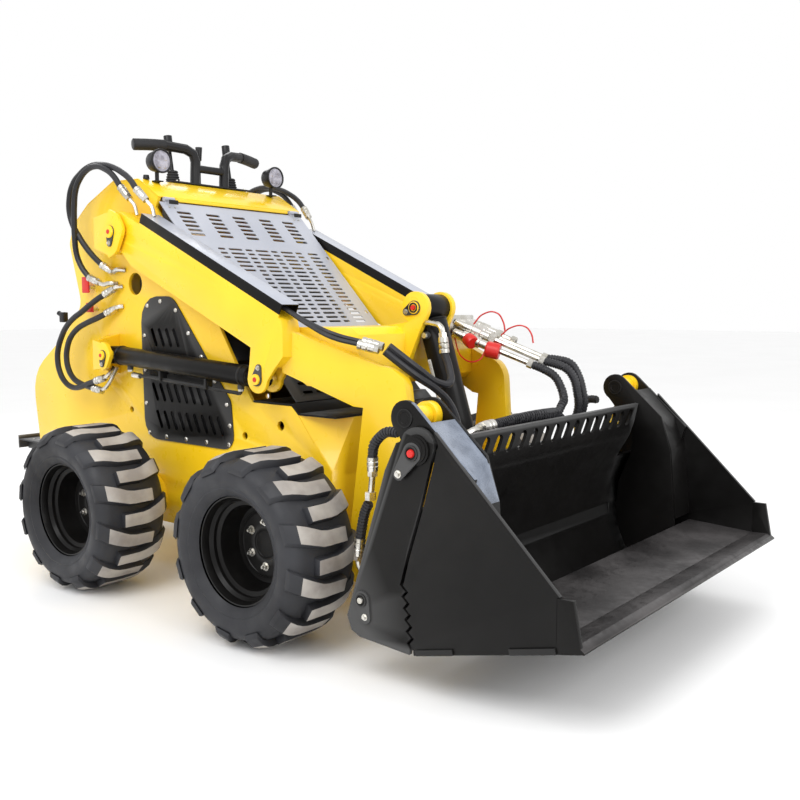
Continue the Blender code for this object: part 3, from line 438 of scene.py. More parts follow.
def tube(shape, points, radius, sides=12, material=0, steps=6):
    """Add a round tube on a smooth curve through points, closed at both ends."""
    curve = bpy.data.curves.new("tube_path", "CURVE")
    curve.dimensions = "3D"
    curve.bevel_depth = radius
    curve.bevel_resolution = max(1, sides // 4 - 1)
    curve.use_fill_caps = True
    curve.resolution_u = steps
    spline = curve.splines.new("BEZIER")
    spline.bezier_points.add(len(points) - 1)
    for knot, point in zip(spline.bezier_points, points):
        knot.co = point
        knot.handle_left_type = knot.handle_right_type = "AUTO"
    holder = bpy.data.objects.new("tube_path", curve)
    bpy.context.scene.collection.objects.link(holder)
    bpy.context.view_layer.update()
    mesh = bpy.data.meshes.new_from_object(holder.evaluated_get(bpy.context.evaluated_depsgraph_get()))
    bpy.data.objects.remove(holder)
    before = set(shape.faces)
    shape.from_mesh(mesh)
    bpy.data.meshes.remove(mesh)
    settle(shape, before, material)


print("helpers ready")

# %% [markdown]
# ## Tyres
# An industrial tread: twelve heavy lugs a side lean back from the shoulders and stop just past the
# middle, each side half a pitch off the other. The carcass is one turned profile with a guard ridge by
# the bead. One lug is a box cut into short lengths, and every point of it is moved onto the tyre.

# %% Tyres
LUGS = 12
TYRE_RADIUS = AXLE_Z
HALF_WIDTH = (front_high[0] - front_low[0]) / 2
CARCASS = [(0.0864, 0.1281), (0.0925, 0.1330), (0.0990, 0.1420), (0.1022, 0.1475), (0.1010, 0.1520),
           (0.1042, 0.1600), (0.1062, 0.1720), (0.1052, 0.1830), (0.1006, 0.1925), (0.0915, 0.2015),
           (0.0740, 0.2080), (0.0400, 0.2112), (0.0, 0.2120)]


def crown(across):
    """The radius of the lugs' tops at a distance from the tyre's middle."""
    reach = abs(across) / HALF_WIDTH
    return TYRE_RADIUS - 0.0240 * max(0.0, (reach - 0.42) / 0.58) ** 2.2


def lug_mesh(side):
    """One lug about an axle at the origin, leaning from its shoulder to just past the tread's middle."""
    shape = bmesh.new()
    bmesh.ops.create_cube(shape, size=1.0)
    long_edges = [e for e in shape.edges if abs(e.verts[0].co.x - e.verts[1].co.x) > 0.5]
    bmesh.ops.subdivide_edges(shape, edges=long_edges, cuts=7, use_grid_fill=True)
    for vert in shape.verts:
        t, wide, high = vert.co.x + 0.5, vert.co.y, vert.co.z
        across = -0.1066 + t * 0.1536
        top = crown(across)
        if t < 0.001:
            across, top = -0.1078, 0.1985
        base = 0.186 if t < 0.12 else min(top - 0.006, 0.2060)
        width = 0.0205 * (1.18 - 0.30 * min(1.0, t * 1.5)) * (0.94 if high > 0 else 1.28)
        lean = 0.034 * min(1.0, t / 0.55) ** 0.8
        turn = -(lean + wide * 2 * width) / TYRE_RADIUS
        radius = top if high > 0 else base
        vert.co = (-side * across, -radius * math.cos(turn), radius * math.sin(turn))
    bmesh.ops.recalc_face_normals(shape, faces=shape.faces)
    if shape.calc_volume(signed=True) < 0:
        bmesh.ops.reverse_faces(shape, faces=shape.faces)
    for face in shape.faces:
        middle = face.calc_center_median()
        from_top = crown(middle.x) - math.hypot(middle.y, middle.z)
        face.material_index = 1 if from_top < 0.0025 and abs(middle.x) < 0.098 else 0
    edges = [e for e in shape.edges if e.calc_face_angle(0.0) > math.radians(40)]
    bmesh.ops.bevel(shape, geom=edges, offset=0.0018, affect="EDGES", segments=2, profile=0.5, material=-1)
    mesh = bpy.data.meshes.new("lug")
    shape.to_mesh(mesh)
    shape.free()
    return mesh


def add_turned(shape, mesh, centre, angle):
    """Add a mesh made about the axle, turned round it and moved to a wheel's centre."""
    before = len(shape.verts)
    shape.from_mesh(mesh)
    shape.verts.ensure_lookup_table()
    bmesh.ops.transform(shape, verts=shape.verts[before:],
                        matrix=Matrix.Translation(centre) @ Matrix.Rotation(-angle, 4, "X"))


LUG_MESHES = {half: lug_mesh(face_side) for half, face_side in ((0.0, 1), (0.5, -1))}
RIB_RADIUS = 0.2105
for end in ("front", "rear"):
    for side, sign in SIDES.items():
        name = f"tyre_{end}_{side}"
        low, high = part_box(name)
        centre = Vector((low + high) / 2)
        shape = bmesh.new()
        lathe(shape, CARCASS + [(-a, r) for a, r in CARCASS[-2::-1]], centre, (1, 0, 0), steps=96)
        for k in range(LUGS):
            for half, mesh in LUG_MESHES.items():
                add_turned(shape, mesh, centre, math.tau * (k + half) / LUGS + 0.12)
        for k in range(2 * LUGS):
            turn = math.tau * (k + 0.25) / (2 * LUGS)
            out = Vector((0.0, -math.cos(turn), math.sin(turn)))
            middle, reach = centre + out * RIB_RADIUS, Vector((0.012, 0, 0))
            rod(shape, middle - reach, middle + reach, 0.0035, sides=6)
        tyre = keep(name + "_tread", shape, ["rubber", "lug"], body_of(name), replaces=(name,))
        print(tyre.name, len(tyre.data.polygons), "faces")

# %% [markdown]
# ## Wheels
# A pressed rim with stepped wells and a deep dish, painted black. Six plated nuts hold it to the hub,
# and the hub's own flange shows in the middle.

# %% Wheels
RIM = [(0.0812, 0.1272), (0.0824, 0.1262), (0.0818, 0.1236), (0.0700, 0.1190), (0.0640, 0.1188),
    (0.0560, 0.1120), (0.0480, 0.1112), (0.0440, 0.1010), (0.0300, 0.0985), (0.0180, 0.0980),
    (0.0060, 0.0950), (-0.0050, 0.0920), (-0.0068, 0.0860), (-0.0070, 0.0400), (-0.0130, 0.0400),
    (-0.0130, 0.0900), (-0.0120, 0.0985), (-0.0640, 0.1188), (-0.0818, 0.1236), (-0.0824, 0.1272)]
NUT_CIRCLE = 0.054
for end in ("front", "rear"):
    for side, sign in SIDES.items():
        name = f"rim_{end}_{side}"
        low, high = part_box(name)
        centre = Vector((low + high) / 2)
        out = Vector((sign, 0, 0))
        shape = bmesh.new()
        lathe(shape, RIM + RIM[:1], centre, out, steps=72)
        lathe(shape, [(-0.0072, 0.0820), (-0.0050, 0.0800), (-0.0050, 0.0770), (-0.0072, 0.0750)], centre,
            out, 48)
        lathe(shape, [(-0.0125, 0.0402), (-0.0066, 0.0400), (-0.0060, 0.0330), (-0.0075, 0.0310),
            (-0.0075, 0.0)], centre, out, 32)
        for k in range(6):
            turn = math.tau * (k + 0.5) / 6
            at = centre + out * -0.0072 + Vector((0.0, math.cos(turn), math.sin(turn))) * NUT_CIRCLE
            bolt(shape, at, out, 0.0115, material=1)
            rod(shape, at, at + out * 0.014, 0.0045, 0.0035, 10, material=1)
        wheel = keep(name + "_dish", shape, ["black", "zinc"], body_of(name), replaces=(name,))
        print(wheel.name, len(wheel.data.polygons), "faces")

# %% [markdown]
# ## Side plates, deck and cowl
# Laser-cut plate, painted yellow. A small rounding on each edge catches the light. The vent panel over
# the opening is thin black sheet with slanted slots, held by a row of bright button-head screws.

# %% Side plates, nose and cowl
DECK_Z = 0.5075
for node in ("cowl", "belly_and_rear_panel"):
    recast(node, "yellow", 0.0015)


def deck_black(face):
    """1 for the black deck on top of the nose, 0 for the painted nose."""
    return 1 if face.calc_center_median().z > DECK_Z else 0


recast("nose_guard", ["yellow", "black"], 0.0012, pick=deck_black,
    split=(Vector((0, 0, DECK_Z)), Vector((0, 0, 1))))
recast("radiator", "plastic", 0.002)
recast("operator_platform", "tread", 0.0010)

# %% Vent panels


def slot_cutter(shape, centre, along, across, length, width):
    """Add a slot's cutter with round ends: a box whose four upright edges are rounded."""
    along, across = Vector(along).normalized(), Vector(across).normalized()
    through = along.cross(across)
    turn = Matrix((along, across, through)).transposed().to_4x4()
    made = bmesh.ops.create_cube(shape, size=1.0, matrix=Matrix.Translation(Vector(centre)) @ turn
                                 @ Matrix.Diagonal((length, width, 0.03, 1.0)))
    verts = made["verts"]
    edges = [e for e in {e for v in verts for e in v.link_edges}
             if abs((e.verts[0].co - e.verts[1].co).normalized().dot(through)) > 0.9]
    bmesh.ops.bevel(shape, geom=edges, offset=width * 0.47, affect="EDGES", segments=3, profile=0.5,
                    material=-1)


def inside(outline, s, z, margin):
    """Whether a point lies within a convex outline by a margin."""
    for (s0, z0), (s1, z1) in zip(outline, outline[1:] + outline[:1]):
        edge = Vector((s1 - s0, z1 - z0))
        if edge.cross(Vector((s - s0, z - z0))) / edge.length < margin:
            return False
    return True


for side, sign in SIDES.items():
    cutters = bmesh.new()
    for s, z, radius in ((0.807, 0.474, 0.0095), (0.298, 0.437, 0.0105), (0.159, 0.475, 0.0125),
            (0.905, 0.585, 0.005)):
        rod(cutters, place(sign * 0.265, s, z), place(sign * 0.300, s, z), radius, sides=24)
    recast(f"side_plate_{side}", "yellow", 0.0012, cutters)

VENT_EDGE = [(0.738, 0.395), (0.745, 0.815), (0.595, 0.815), (0.350, 0.527), (0.338, 0.392)]
VENT_SCREWS = [(0.715, 0.412), (0.727, 0.500), (0.729, 0.600), (0.729, 0.700), (0.712, 0.788), (0.650, 0.801),
               (0.580, 0.775), (0.525, 0.710), (0.470, 0.645), (0.415, 0.580), (0.366, 0.518), (0.355, 0.460),
               (0.360, 0.407), (0.455, 0.406), (0.545, 0.406), (0.635, 0.406)]
for side, sign in SIDES.items():
    node = f"vent_panel_{side}"
    face_x = outer_face(node, sign)
    cutters = bmesh.new()
    for row in range(5):
        for column in range(12):
            s = 0.360 + column * 0.034 + (row % 2) * 0.017
            z = 0.456 + row * 0.080
            if inside(VENT_EDGE, s, z, 0.044):
                slot_cutter(cutters, place(face_x, s, z), (0, 0.42, 0.91), (0, -0.91, 0.42), 0.058, 0.0135)
    recast(node, "black", 0.0, cutters)
    shape = bmesh.new()
    for s, z in VENT_SCREWS:
        at = place(face_x, s, z)
        lathe(shape, [(0.0, 0.0070), (0.0014, 0.0066), (0.0030, 0.0046), (0.0034, 0.0)], at, (sign, 0, 0), 14)
    keep(f"vent_screws_{side}", shape, "zinc", "chassis")

# %% [markdown]
# ## Bonnet
# A gray pressed sheet that slopes from the tower to the front deck; its side cheeks take black as painted
# shade.
# Its upper part has six rows of wide slots and the lower part a mesh of short and long ones that
# narrows to one side. Two hinges stand on its top edge. The sheet is cut with a cutter for each slot.

# %% Bonnet
BONNET_TOP, BONNET_FOOT = (0.649, 1.084), (0.256, 0.676)
slope = (place(0, *BONNET_FOOT) - place(0, *BONNET_TOP)).normalized()
bonnet_up = upward(slope)
cutters = bmesh.new()
slots = [(x, 0.041 + 0.018 * row, 0.052, 0.0105) for x in (-0.219, -0.112, -0.010, 0.099, 0.200)
    for row in range(6)]
left_edge = [(0.200, -0.180), (0.219, -0.178), (0.323, -0.101), (0.436, -0.065), (0.484, -0.042)]
for row in range(18):
    t = 0.185 + 0.0172 * row
    edge_x = left_edge[0][1]
    for (t0, x0), (t1, x1) in zip(left_edge, left_edge[1:]):
        if t >= t0:
            edge_x = x0 + (x1 - x0) * min(1.0, (t - t0) / (t1 - t0))
    for x, length in ((-0.165, 0.028), (-0.1125, 0.053), (-0.060, 0.028), (-0.008, 0.053), (0.0435, 0.028),
                      (0.0965, 0.053), (0.1485, 0.028), (0.212, 0.046)):
        if x - length / 2 > edge_x - 0.012:
            slots.append((x, t, length, 0.0082))
for x, t, length, width in slots:
    slot_cutter(cutters, place(x, *BONNET_TOP) + slope * t, (1, 0, 0), slope, length, width)


def shaded_cheek(face):
    """1 for the bonnet's side cheeks, black as painted shade, 0 for its sloping sheet."""
    return 1 if abs(face.normal.x) > 0.9 and face.calc_area() > 0.002 else 0


# The side cheeks take black as painted shade.
recast("bonnet", ["gray", "black"], 0.0, cutters, pick=shaded_cheek)
shape = bmesh.new()
for k in (-1, 1):
    at = place(k * 0.251, *BONNET_TOP) + slope * 0.010
    for offset in (-0.010, 0.010):
        bolt(shape, at + Vector((offset, 0, 0)) + slope * 0.012 + bonnet_up * 0.002, bonnet_up, 0.005, 1)
    block(shape, at + Vector((-0.016, -0.020, 0.002)), at + Vector((0.016, -0.017, 0.014)), 0.0008)
    for row in range(2):
        at = place(k * 0.268, *BONNET_TOP) + slope * (0.20 + 0.24 * row)
        lathe(shape, [(0.0, 0.0085), (0.0018, 0.0080), (0.0040, 0.0050), (0.0044, 0.0)],
            at + bonnet_up * 0.0005, bonnet_up, 16, 1)
keep("bonnet_fasteners", shape, ["black", "zinc"], "bonnet")
print(len(slots), "slots in the bonnet")

# %% Front grille
low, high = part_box("front_grille")
grille_run = (Vector((0, high.y, high.z)) - Vector((0, low.y, low.z))).normalized()
cutters = bmesh.new()
for row in range(5):
    for column in range(9):
        at = Vector((-0.2 + 0.05 * column, low.y, low.z)) + grille_run * (0.030 + 0.030 * row)
        slot_cutter(cutters, at, (1, 0, 0), grille_run, 0.036, 0.010)
recast("front_grille", "black", 0.0, cutters)

# %% [markdown]
# ## Arms and brackets
# The lift arms are boxed and painted yellow. A dark painted sheet guard runs along the top of each for
# the hoses. Above the arm's own line its upward faces take gray as painted glare and its other faces
# take black as painted shade. Each pin has a keeper plate, a bolt and a red cap over its grease nipple.

# %% Arms and brackets
guard_start, guard_end = place(0, 0.652, 1.0173), place(0, 0.092, 0.7609)
guard_run = (guard_end - guard_start).normalized()
guard_up = upward(guard_run)
GUARD_FLOOR, GUARD_END_GAP = 0.004, 0.005


def above_arm(face):
    """1 for the hose guard's upward faces, gray as painted glare, 2 for its others, black as painted shade, 0
    for the arm.
    """
    offset = face.calc_center_median() - guard_start
    beyond = offset.dot(guard_run)
    in_length = -GUARD_END_GAP < beyond < (guard_end - guard_start).length + GUARD_END_GAP
    if offset.dot(guard_up) <= GUARD_FLOOR or not in_length:
        return 0
    # Upward guard faces take gray as painted glare, the others black as painted shade.
    return 1 if face.normal.dot(guard_up) > 0.5 else 2


for side in SIDES:
    recast(f"boom_arm_{side}", ["yellow", "gray", "black"], 0.0018, pick=above_arm,
           split=(guard_start + guard_up * GUARD_FLOOR, guard_up))
    recast(f"boom_bracket_{side}", "yellow", 0.0015)
    recast(f"cylinder_bracket_{side}", "yellow", 0.0015)
recast("boom_cross_member", "yellow", 0.0018)


def keeper(shape, at, out, towards, reach, radius, small=0.55, grease=2):
    """Add a pin's teardrop keeper plate with its bolt, the pin's end and a red grease cap."""
    at, out, towards = Vector(at), Vector(out), Vector(towards).normalized()
    before = set(shape.verts)
    rod(shape, at, at + out * 0.004, radius, sides=28, material=1)
    rod(shape, at + towards * reach, at + towards * reach + out * 0.004, radius * small, sides=20, material=1)
    corners = [v for v in shape.verts if v not in before]
    bmesh.ops.delete(shape, geom=list({f for v in corners for f in v.link_faces}), context="FACES_ONLY")
    made = bmesh.ops.convex_hull(shape, input=corners)
    loose = [v for v in made["geom_interior"] + made["geom_unused"] if isinstance(v, bmesh.types.BMVert)]
    bmesh.ops.delete(shape, geom=loose, context="VERTS")
    plate_faces = [f for f in shape.faces if all(v not in before for v in f.verts)]
    bmesh.ops.recalc_face_normals(shape, faces=plate_faces)
    paint(plate_faces, 1)
    lathe(shape, [(0.003, radius * 0.74), (0.0075, radius * 0.72), (0.0075, radius * 0.52),
        (0.0055, radius * 0.5), (0.0055, 0.0)], at, out, 28, 1)
    rod(shape, at + out * 0.005, at + out * 0.0105, radius * 0.42, radius * 0.34, 14, grease)
    bolt(shape, at + towards * reach + out * 0.0035, out, radius * 0.42, 0)


KEEPER_FINISHES = ["zinc", "black", "red"]
PIN_STAND = 0.0088
for side, sign in SIDES.items():
    out = Vector((sign, 0, 0))
    for label, node, at, radius, towards, body in (
            ("boom_pin", "boom_bracket", BOOM_PIN, 0.0185, (0, 0.12, -0.99), "chassis"),
            ("lift_pin", "cylinder_bracket", LIFT_BASE, 0.0155, (0, 0.12, -0.99), "chassis"),
            ("knee_pin", "boom_arm", KNEE_PIN, 0.0175, (0, -0.25, 0.97), "boom")):
        shape = bmesh.new()
        foot = place(outer_face(f"{node}_{side}", sign), *at) - out * PIN_STAND
        keeper(shape, foot, out, towards, radius * 1.75, radius)
        keep(f"{label}_keeper_{side}", shape, KEEPER_FINISHES, body)

shape = bmesh.new()
for k in (-1, 1):
    keeper(shape, place(k * 0.0622, *TILT_TOP), (k, 0, 0), (0, 0.93, -0.36), 0.028, 0.0185)
keep("clevis_pin_keepers", shape, KEEPER_FINISHES, "boom")

# %% [markdown]
# ## Cylinders
# Each cylinder is a black tube with a welded base eye, a turned gland at its mouth and a bright
# chromed rod. The long-stroke ones are bored deep, and their rods reach far back inside, so that
# they stay in the tube when they are fully out. The steel pipe below the lift cylinder feeds its rod side.

# %% Cylinders
# Each long-stroke cylinder: its line, its tube, how deep its rod reaches at rest and the depth at
# which the engineering model's own bore ends.
LONG_STROKES = {"tilt": (0.0, TILT_TOP, TILT_FOOT, TILT_TUBE, 0.082, 0.320),
                "lift_right": (-ARM_MID, LIFT_BASE, KNEE_PIN, LIFT_TUBE, 0.120, 0.500),
                "lift_left": (ARM_MID, LIFT_BASE, KNEE_PIN, LIFT_TUBE, 0.120, 0.500)}
BORE_END, BORE_CLEAR, TAIL_CLEAR = 0.018, 0.0005, 0.0003
for name, (x, base, eye, tubing, deep, shallow) in LONG_STROKES.items():
    start, run = place(x, *base), (place(x, *eye) - place(x, *base)).normalized()
    cutters = bmesh.new()
    rod(cutters, start + run * (deep - BORE_END), start + run * shallow, tubing[1] + BORE_CLEAR, sides=32)
    recast(name + "_barrel", "black", 0.0010, cutters)
    shape = bmesh.new()
    rod(shape, start + run * deep, start + run * shallow, tubing[1] - TAIL_CLEAR, sides=32)
    keep(name + "_rod_tail", shape, "chrome", body_of(name + "_rod"))
for side in SIDES:
    recast(f"clam_{side}_barrel", "yellow", 0.0010)


def near_clam_pin(face):
    """1 for the painted eye of a clam rod, 0 for its chromed length."""
    middle = face.calc_center_median() - place(0, *CLAM_TOP)
    return 1 if math.hypot(middle.y, middle.z) < 0.030 else 0


for node in [n for n in frame["nodes"] if n.endswith("_rod")]:
    recast(node, ["chrome", "yellow"], 0.0008, pick=near_clam_pin if node.startswith("clam") else None)


def dress_cylinder(x, base, eye, tubing, ports=()):
    """A gland, a weld bead and ports for a barrel, with its start, its run and its mouth."""
    radius, rod_radius, gland = tubing
    start, end = place(x, *base), place(x, *eye)
    run = (end - start).normalized()
    mouth = start + run * ((end - start).length - gland)
    shape = bmesh.new()
    lathe(shape, [(-0.030, radius - 0.001), (-0.029, radius + 0.0012), (-0.020, radius + 0.0016),
                  (-0.019, radius + 0.0006), (-0.004, radius + 0.0006), (0.0, radius - 0.0016),
                  (0.0, rod_radius + 0.0022), (-0.004, rod_radius + 0.0014)], mouth, run, 40, 0)
    lathe(shape, [(radius * 0.9, radius - 0.001), (radius * 0.9 + 0.003, radius + 0.0022),
                  (radius * 0.9 + 0.007, radius - 0.001)], start, run, 40, 0)
    for distance, out in ports:
        at = start + run * distance
        out = Vector(out)
        rod(shape, at + out * (radius - 0.003), at + out * (radius + 0.009), 0.0095, sides=16, material=0)
        rod(shape, at + out * (radius + 0.008), at + out * (radius + 0.016), 0.0085, 0.0080, 6, 1)
    return shape, start, run, mouth


for side, sign in SIDES.items():
    shape, start, run, mouth = dress_cylinder(sign * ARM_MID, LIFT_BASE, KNEE_PIN, LIFT_TUBE)
    down = Vector((0, 0, -1))
    length = (mouth - start).length
    for distance in (0.066, length - 0.040):
        at = start + run * distance
        rod(shape, at + down * 0.024, at + down * 0.038, 0.009, sides=14, material=0)
        rod(shape, at + down * 0.036, at + down * 0.044, 0.0080, 0.0075, 6, 1)
    pipe = [start + run * d + down * h for d, h in ((length - 0.040, 0.040), (length - 0.044, 0.0485),
                                                   (length - 0.060, 0.0500), (length * 0.5, 0.0500),
                                                   (0.150, 0.0500), (0.110, 0.0520))]
    tube(shape, pipe, 0.0055, 10, 0)
    rod(shape, pipe[-1] - run * 0.030, pipe[-1] + run * 0.004, 0.0085, 0.0080, 14, 1)
    for distance in (0.22, 0.42):
        at = start + run * distance
        block(shape, at + Vector((-0.012, -0.004, -0.054)), at + Vector((0.012, 0.004, -0.024)), 0.001, 0)
    keep(f"lift_cylinder_dress_{side}", shape, ["black", "zinc"], f"lift_barrel_{side}")
    shape, *_ = dress_cylinder(sign * CLAM_MID, CLAM_FOOT, CLAM_TOP, CLAM_TUBE,
                               ((0.05, (0, 1, 0)), (0.25, (0, 1, 0))))
    keep(f"clam_cylinder_dress_{side}", shape, ["black", "zinc"], f"clam_barrel_{side}")
shape, start, run, _ = dress_cylinder(0.0, TILT_TOP, TILT_FOOT, TILT_TUBE,
                                      ((0.075, (-1, 0, 0)), (0.36, (-1, 0, 0))))
pipe = [start + run * d + Vector((-h, 0, 0)) for d, h in ((0.36, 0.052), (0.352, 0.056), (0.335, 0.057),
                                                          (0.20, 0.057), (0.14, 0.057))]
tube(shape, pipe, 0.0048, 10, 1)
keep("tilt_cylinder_dress", shape, ["black", "zinc"], "tilt_barrel")

# %% [markdown]
# ## Bucket
# The bucket splits behind its toothed side seam: the front half lifts like a clam. Both halves are
# black plate. The wedge floor and the cutting edge are scuffed by soil, so their upward faces take the
# worn steel. On the near side the upward cap of the clam's side pocket takes blue-gray, a painted
# reflection of the sky on the black paint. A row of slanted slots along the spill guard lets the driver see
# the load.

# %% Bucket
GUARD_SLOTS, SLOT_PITCH, SLOT_LENGTH, SLOT_WIDTH = 16, 0.050, 0.046, 0.0250
cutters = bmesh.new()
for k in range(GUARD_SLOTS):
    at = place(-0.375 + SLOT_PITCH * k, -0.503, 0.486)
    slot_cutter(cutters, at, (0.28, 0, 0.96), (0.96, 0, -0.28), SLOT_LENGTH, SLOT_WIDTH)


def scuffed(face):
    """1 for the faces that soil slides over, 2 for the near pocket's cap, blue-gray as a painted sky
    reflection, 0 for the others.
    """
    middle = face.calc_center_median()
    low_enough = middle.z < 0.205 and abs(middle.x) < 0.522
    # The near pocket's upward cap takes blue-gray as a painted sky reflection.
    if -0.5195 < middle.x < -0.4265 and middle.z > 0.39 and face.normal.y < -0.5 and face.normal.z > 0.1:
        return 2
    return 1 if face.normal.z > 0.75 and low_enough and middle.y < FRONT_AXLE_Y - 0.60 else 0


recast("bucket_back", ["black", "steel"], 0.0, cutters)
recast("bucket_clam", ["black", "steel", "cap"], 0.0010, pick=scuffed)
recast("cutting_edge", ["black", "steel"], 0.0010, pick=scuffed)
recast("bucket_coupling", "black", 0.0012)

for side, sign in SIDES.items():
    out = Vector((sign, 0, 0))
    shape = bmesh.new()
    boss = place(sign * 0.5409, *CLAM_PIN)
    lathe(shape, [(-0.0095, 0.0310), (-0.0060, 0.0305), (-0.0050, 0.0270), (-0.0020, 0.0265),
        (-0.0010, 0.0200), (-0.0010, 0.0)], boss, out, 32, 1)
    keeper(shape, boss + out * -0.0030 + Vector((0, 0.005, -0.006)), out, (0, 0.60, -0.80), 0.056, 0.0215,
        0.60)
    foot = place(sign * 0.5309, -0.338, 0.172)
    keeper(shape, foot, out, (0, -0.25, -0.97), 0.036, 0.0190, 0.75, grease=0)
    keep(f"bucket_keepers_{side}", shape, KEEPER_FINISHES, "bucket_back")
    shape = bmesh.new()
    for inner, outer in ((0.4300, 0.4508), (0.4956, 0.5085)):
        rod(shape, place(sign * inner, *CLAM_TOP), place(sign * outer, *CLAM_TOP), 0.0290, sides=36)
    for x in (0.4215, 0.5188):
        lathe(shape, [(0.0, 0.0200), (0.0022, 0.0190), (0.0022, 0.0120), (0.0012, 0.0110), (0.0012, 0.0)],
              place(sign * x, *CLAM_TOP), (sign * (1 if x > 0.5 else -1), 0, 0), 28, 1)
    keep(f"clam_top_hub_{side}", shape, ["yellow", "black", "zinc"], "bucket_clam")
    shape = bmesh.new()
    edge_start, edge_end = Vector((-0.474, 0.083)), Vector((-0.7967, 0.163))
    for first, last in ((0.02, 0.30), (0.70, 1.0)):
        start, end = edge_start.lerp(edge_end, first), edge_start.lerp(edge_end, last)
        turn = Matrix.Rotation(math.atan2(end.y - start.y, end.x - start.x), 4, "X")
        made = bmesh.ops.create_cube(shape, size=1.0, matrix=Matrix.Translation(
            place(sign * 0.5315, *((start + end) / 2)) + Vector((0, 0, 0.006))) @ turn
            @ Matrix.Diagonal((0.006, (end - start).length, 0.012, 1.0)))
    bmesh.ops.bevel(shape, geom=list(shape.edges), offset=0.0012, affect="EDGES", segments=2, profile=0.5,
                    material=-1)
    keep(f"clam_wear_bars_{side}", shape, "black", "bucket_clam")

# %% [markdown]
# ## Controls and lamps
# A bent handlebar with rubber grips stands between two levers with soft boots. Each work light is a
# black bowl with a smoked lens and a black ring round it, on a bolted foot.

# %% Controls and lamps
recast("handlebar", "plastic", 0.0006)
shape = bmesh.new()
for k in (-1, 1):
    grip = route(k, (0.150, 0.7894, 1.2755), (0.200, 0.8061, 1.2738), (0.243, 0.8194, 1.2704))
    tube(shape, grip, 0.0176, 20, 0, 8)
    for step in range(5):
        z = 1.166 + 0.0078 * step
        wide = 0.0225 - 0.0016 * step
        lathe(shape, [(0.0, wide - 0.002), (0.0022, wide + 0.0006), (0.0052, wide), (0.0076, wide - 0.003)],
              place(k * LEVER_X, 0.800, z), (0, 0, 1), 24)
keep("handlebar_grips", shape, "grip", "chassis")
shape = bmesh.new()
for x in (-0.135, 0.135):
    for s in (0.755, 0.856):
        bolt(shape, place(x, s, 1.1668), (0, 0, 1), 0.0058)
for k in (-1, 1):
    rod(shape, *route(k, (LEVER_X, 0.812, 1.240), (LEVER_X, 0.8165, 1.268)), 0.0078, sides=16)
keep("handlebar_bolts", shape, "zinc", "chassis")

for side, sign in SIDES.items():
    node = f"work_light_{side}"
    recast(node, "plastic", 0.0015)
    low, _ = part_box(node)
    face = Vector((sign * LAMP_X, low.y - 0.0034, 1.212))
    forward = Vector((0, -1, 0))
    shape = bmesh.new()
    lathe(shape, [(-0.0075, 0.0330), (-0.0005, 0.0352), (-0.0002, 0.0335), (-0.0015, 0.0305),
        (-0.0030, 0.0300)], face, forward, 40, 1)
    lathe(shape, [(-0.0030, 0.0302), (-0.0016, 0.0220), (-0.0010, 0.0100), (-0.0008, 0.0)], face, forward,
        40, 0)
    for k in range(4):
        turn = math.tau * (k + 0.5) / 4
        at = face + Vector((math.cos(turn), 0.0, math.sin(turn))) * 0.0155
        lathe(shape, [(-0.0016, 0.0105), (-0.0004, 0.0090), (-0.0001, 0.0050), (-0.00005, 0.0)], at,
            forward, 20, 0)
    keep(f"work_light_lens_{side}", shape, ["lens", "plastic"], "chassis")
    shape = bmesh.new()
    x = sign * LAMP_X
    block(shape, place(x - 0.013, 0.713, 1.1528), place(x + 0.013, 0.743, 1.1565), 0.0008)
    bolt(shape, place(x + 0.008, 0.736, 1.156), (0, 0, 1), 0.0042, 1)
    keep(f"work_light_foot_{side}", shape, ["plastic", "zinc"], "chassis")

# %% [markdown]
# ## Platform tread
# The driver stands on a folded plate with a raised pattern of lozenges, turned alternately so that a
# boot grips both ways. Each lozenge has only a few faces because there are so many of them.

# %% Platform tread
low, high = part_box("operator_platform")
shape = bmesh.new()
PLATFORM_Z, LOZENGE_HIGH = 0.323, 0.0016
for row in range(13):
    for column in range(18):
        x = low.x + 0.028 + column * 0.0290
        y = low.y + 0.022 + row * 0.0335
        if x > high.x - 0.016 or y > high.y - 0.024:
            continue
        turn = math.radians(45 if (row + column) % 2 else -45)
        made = bmesh.ops.create_cone(shape, cap_ends=True, cap_tris=False, segments=6, radius1=0.012,
                                     radius2=0.008, depth=LOZENGE_HIGH,
                                     matrix=Matrix.Translation((x, y, PLATFORM_Z + LOZENGE_HIGH / 2))
                                     @ Matrix.Rotation(turn, 4, "Z") @ Matrix.Diagonal((1.0, 0.30, 1.0, 1.0)))
keep("platform_lozenges", shape, "tread", "chassis")

# %% [markdown]
# ## Hoses
# Rubber hoses leave the side plate, loop behind it and feed the boom and the lift cylinder. Those that
# reach the boom bend with it, between a point on the tower and one past the boom's pivot. Every hose
# ends in a crimped plated ferrule and a bent pipe.

# %% Hoses at the tower
HOSE, PIPE = 0.0088, 0.0072


def ferrule(shape, at, along, length=0.034, radius=0.0118, material=1):
    """Add a crimped ferrule: a ringed sleeve with a hexagon behind it."""
    at, along = Vector(at), Vector(along).normalized()
    lathe(shape, [(0.0, HOSE * 0.9), (0.0, radius), (length * 0.22, radius),
        (length * 0.27, radius - 0.0014), (length * 0.34, radius), (length * 0.55, radius),
        (length * 0.60, radius - 0.0014), (length * 0.66, radius), (length, radius - 0.001),
        (length, HOSE * 0.6)], at, along, 20, material)
    rod(shape, at + along * length, at + along * (length + 0.011), 0.0112, sides=6, material=material)


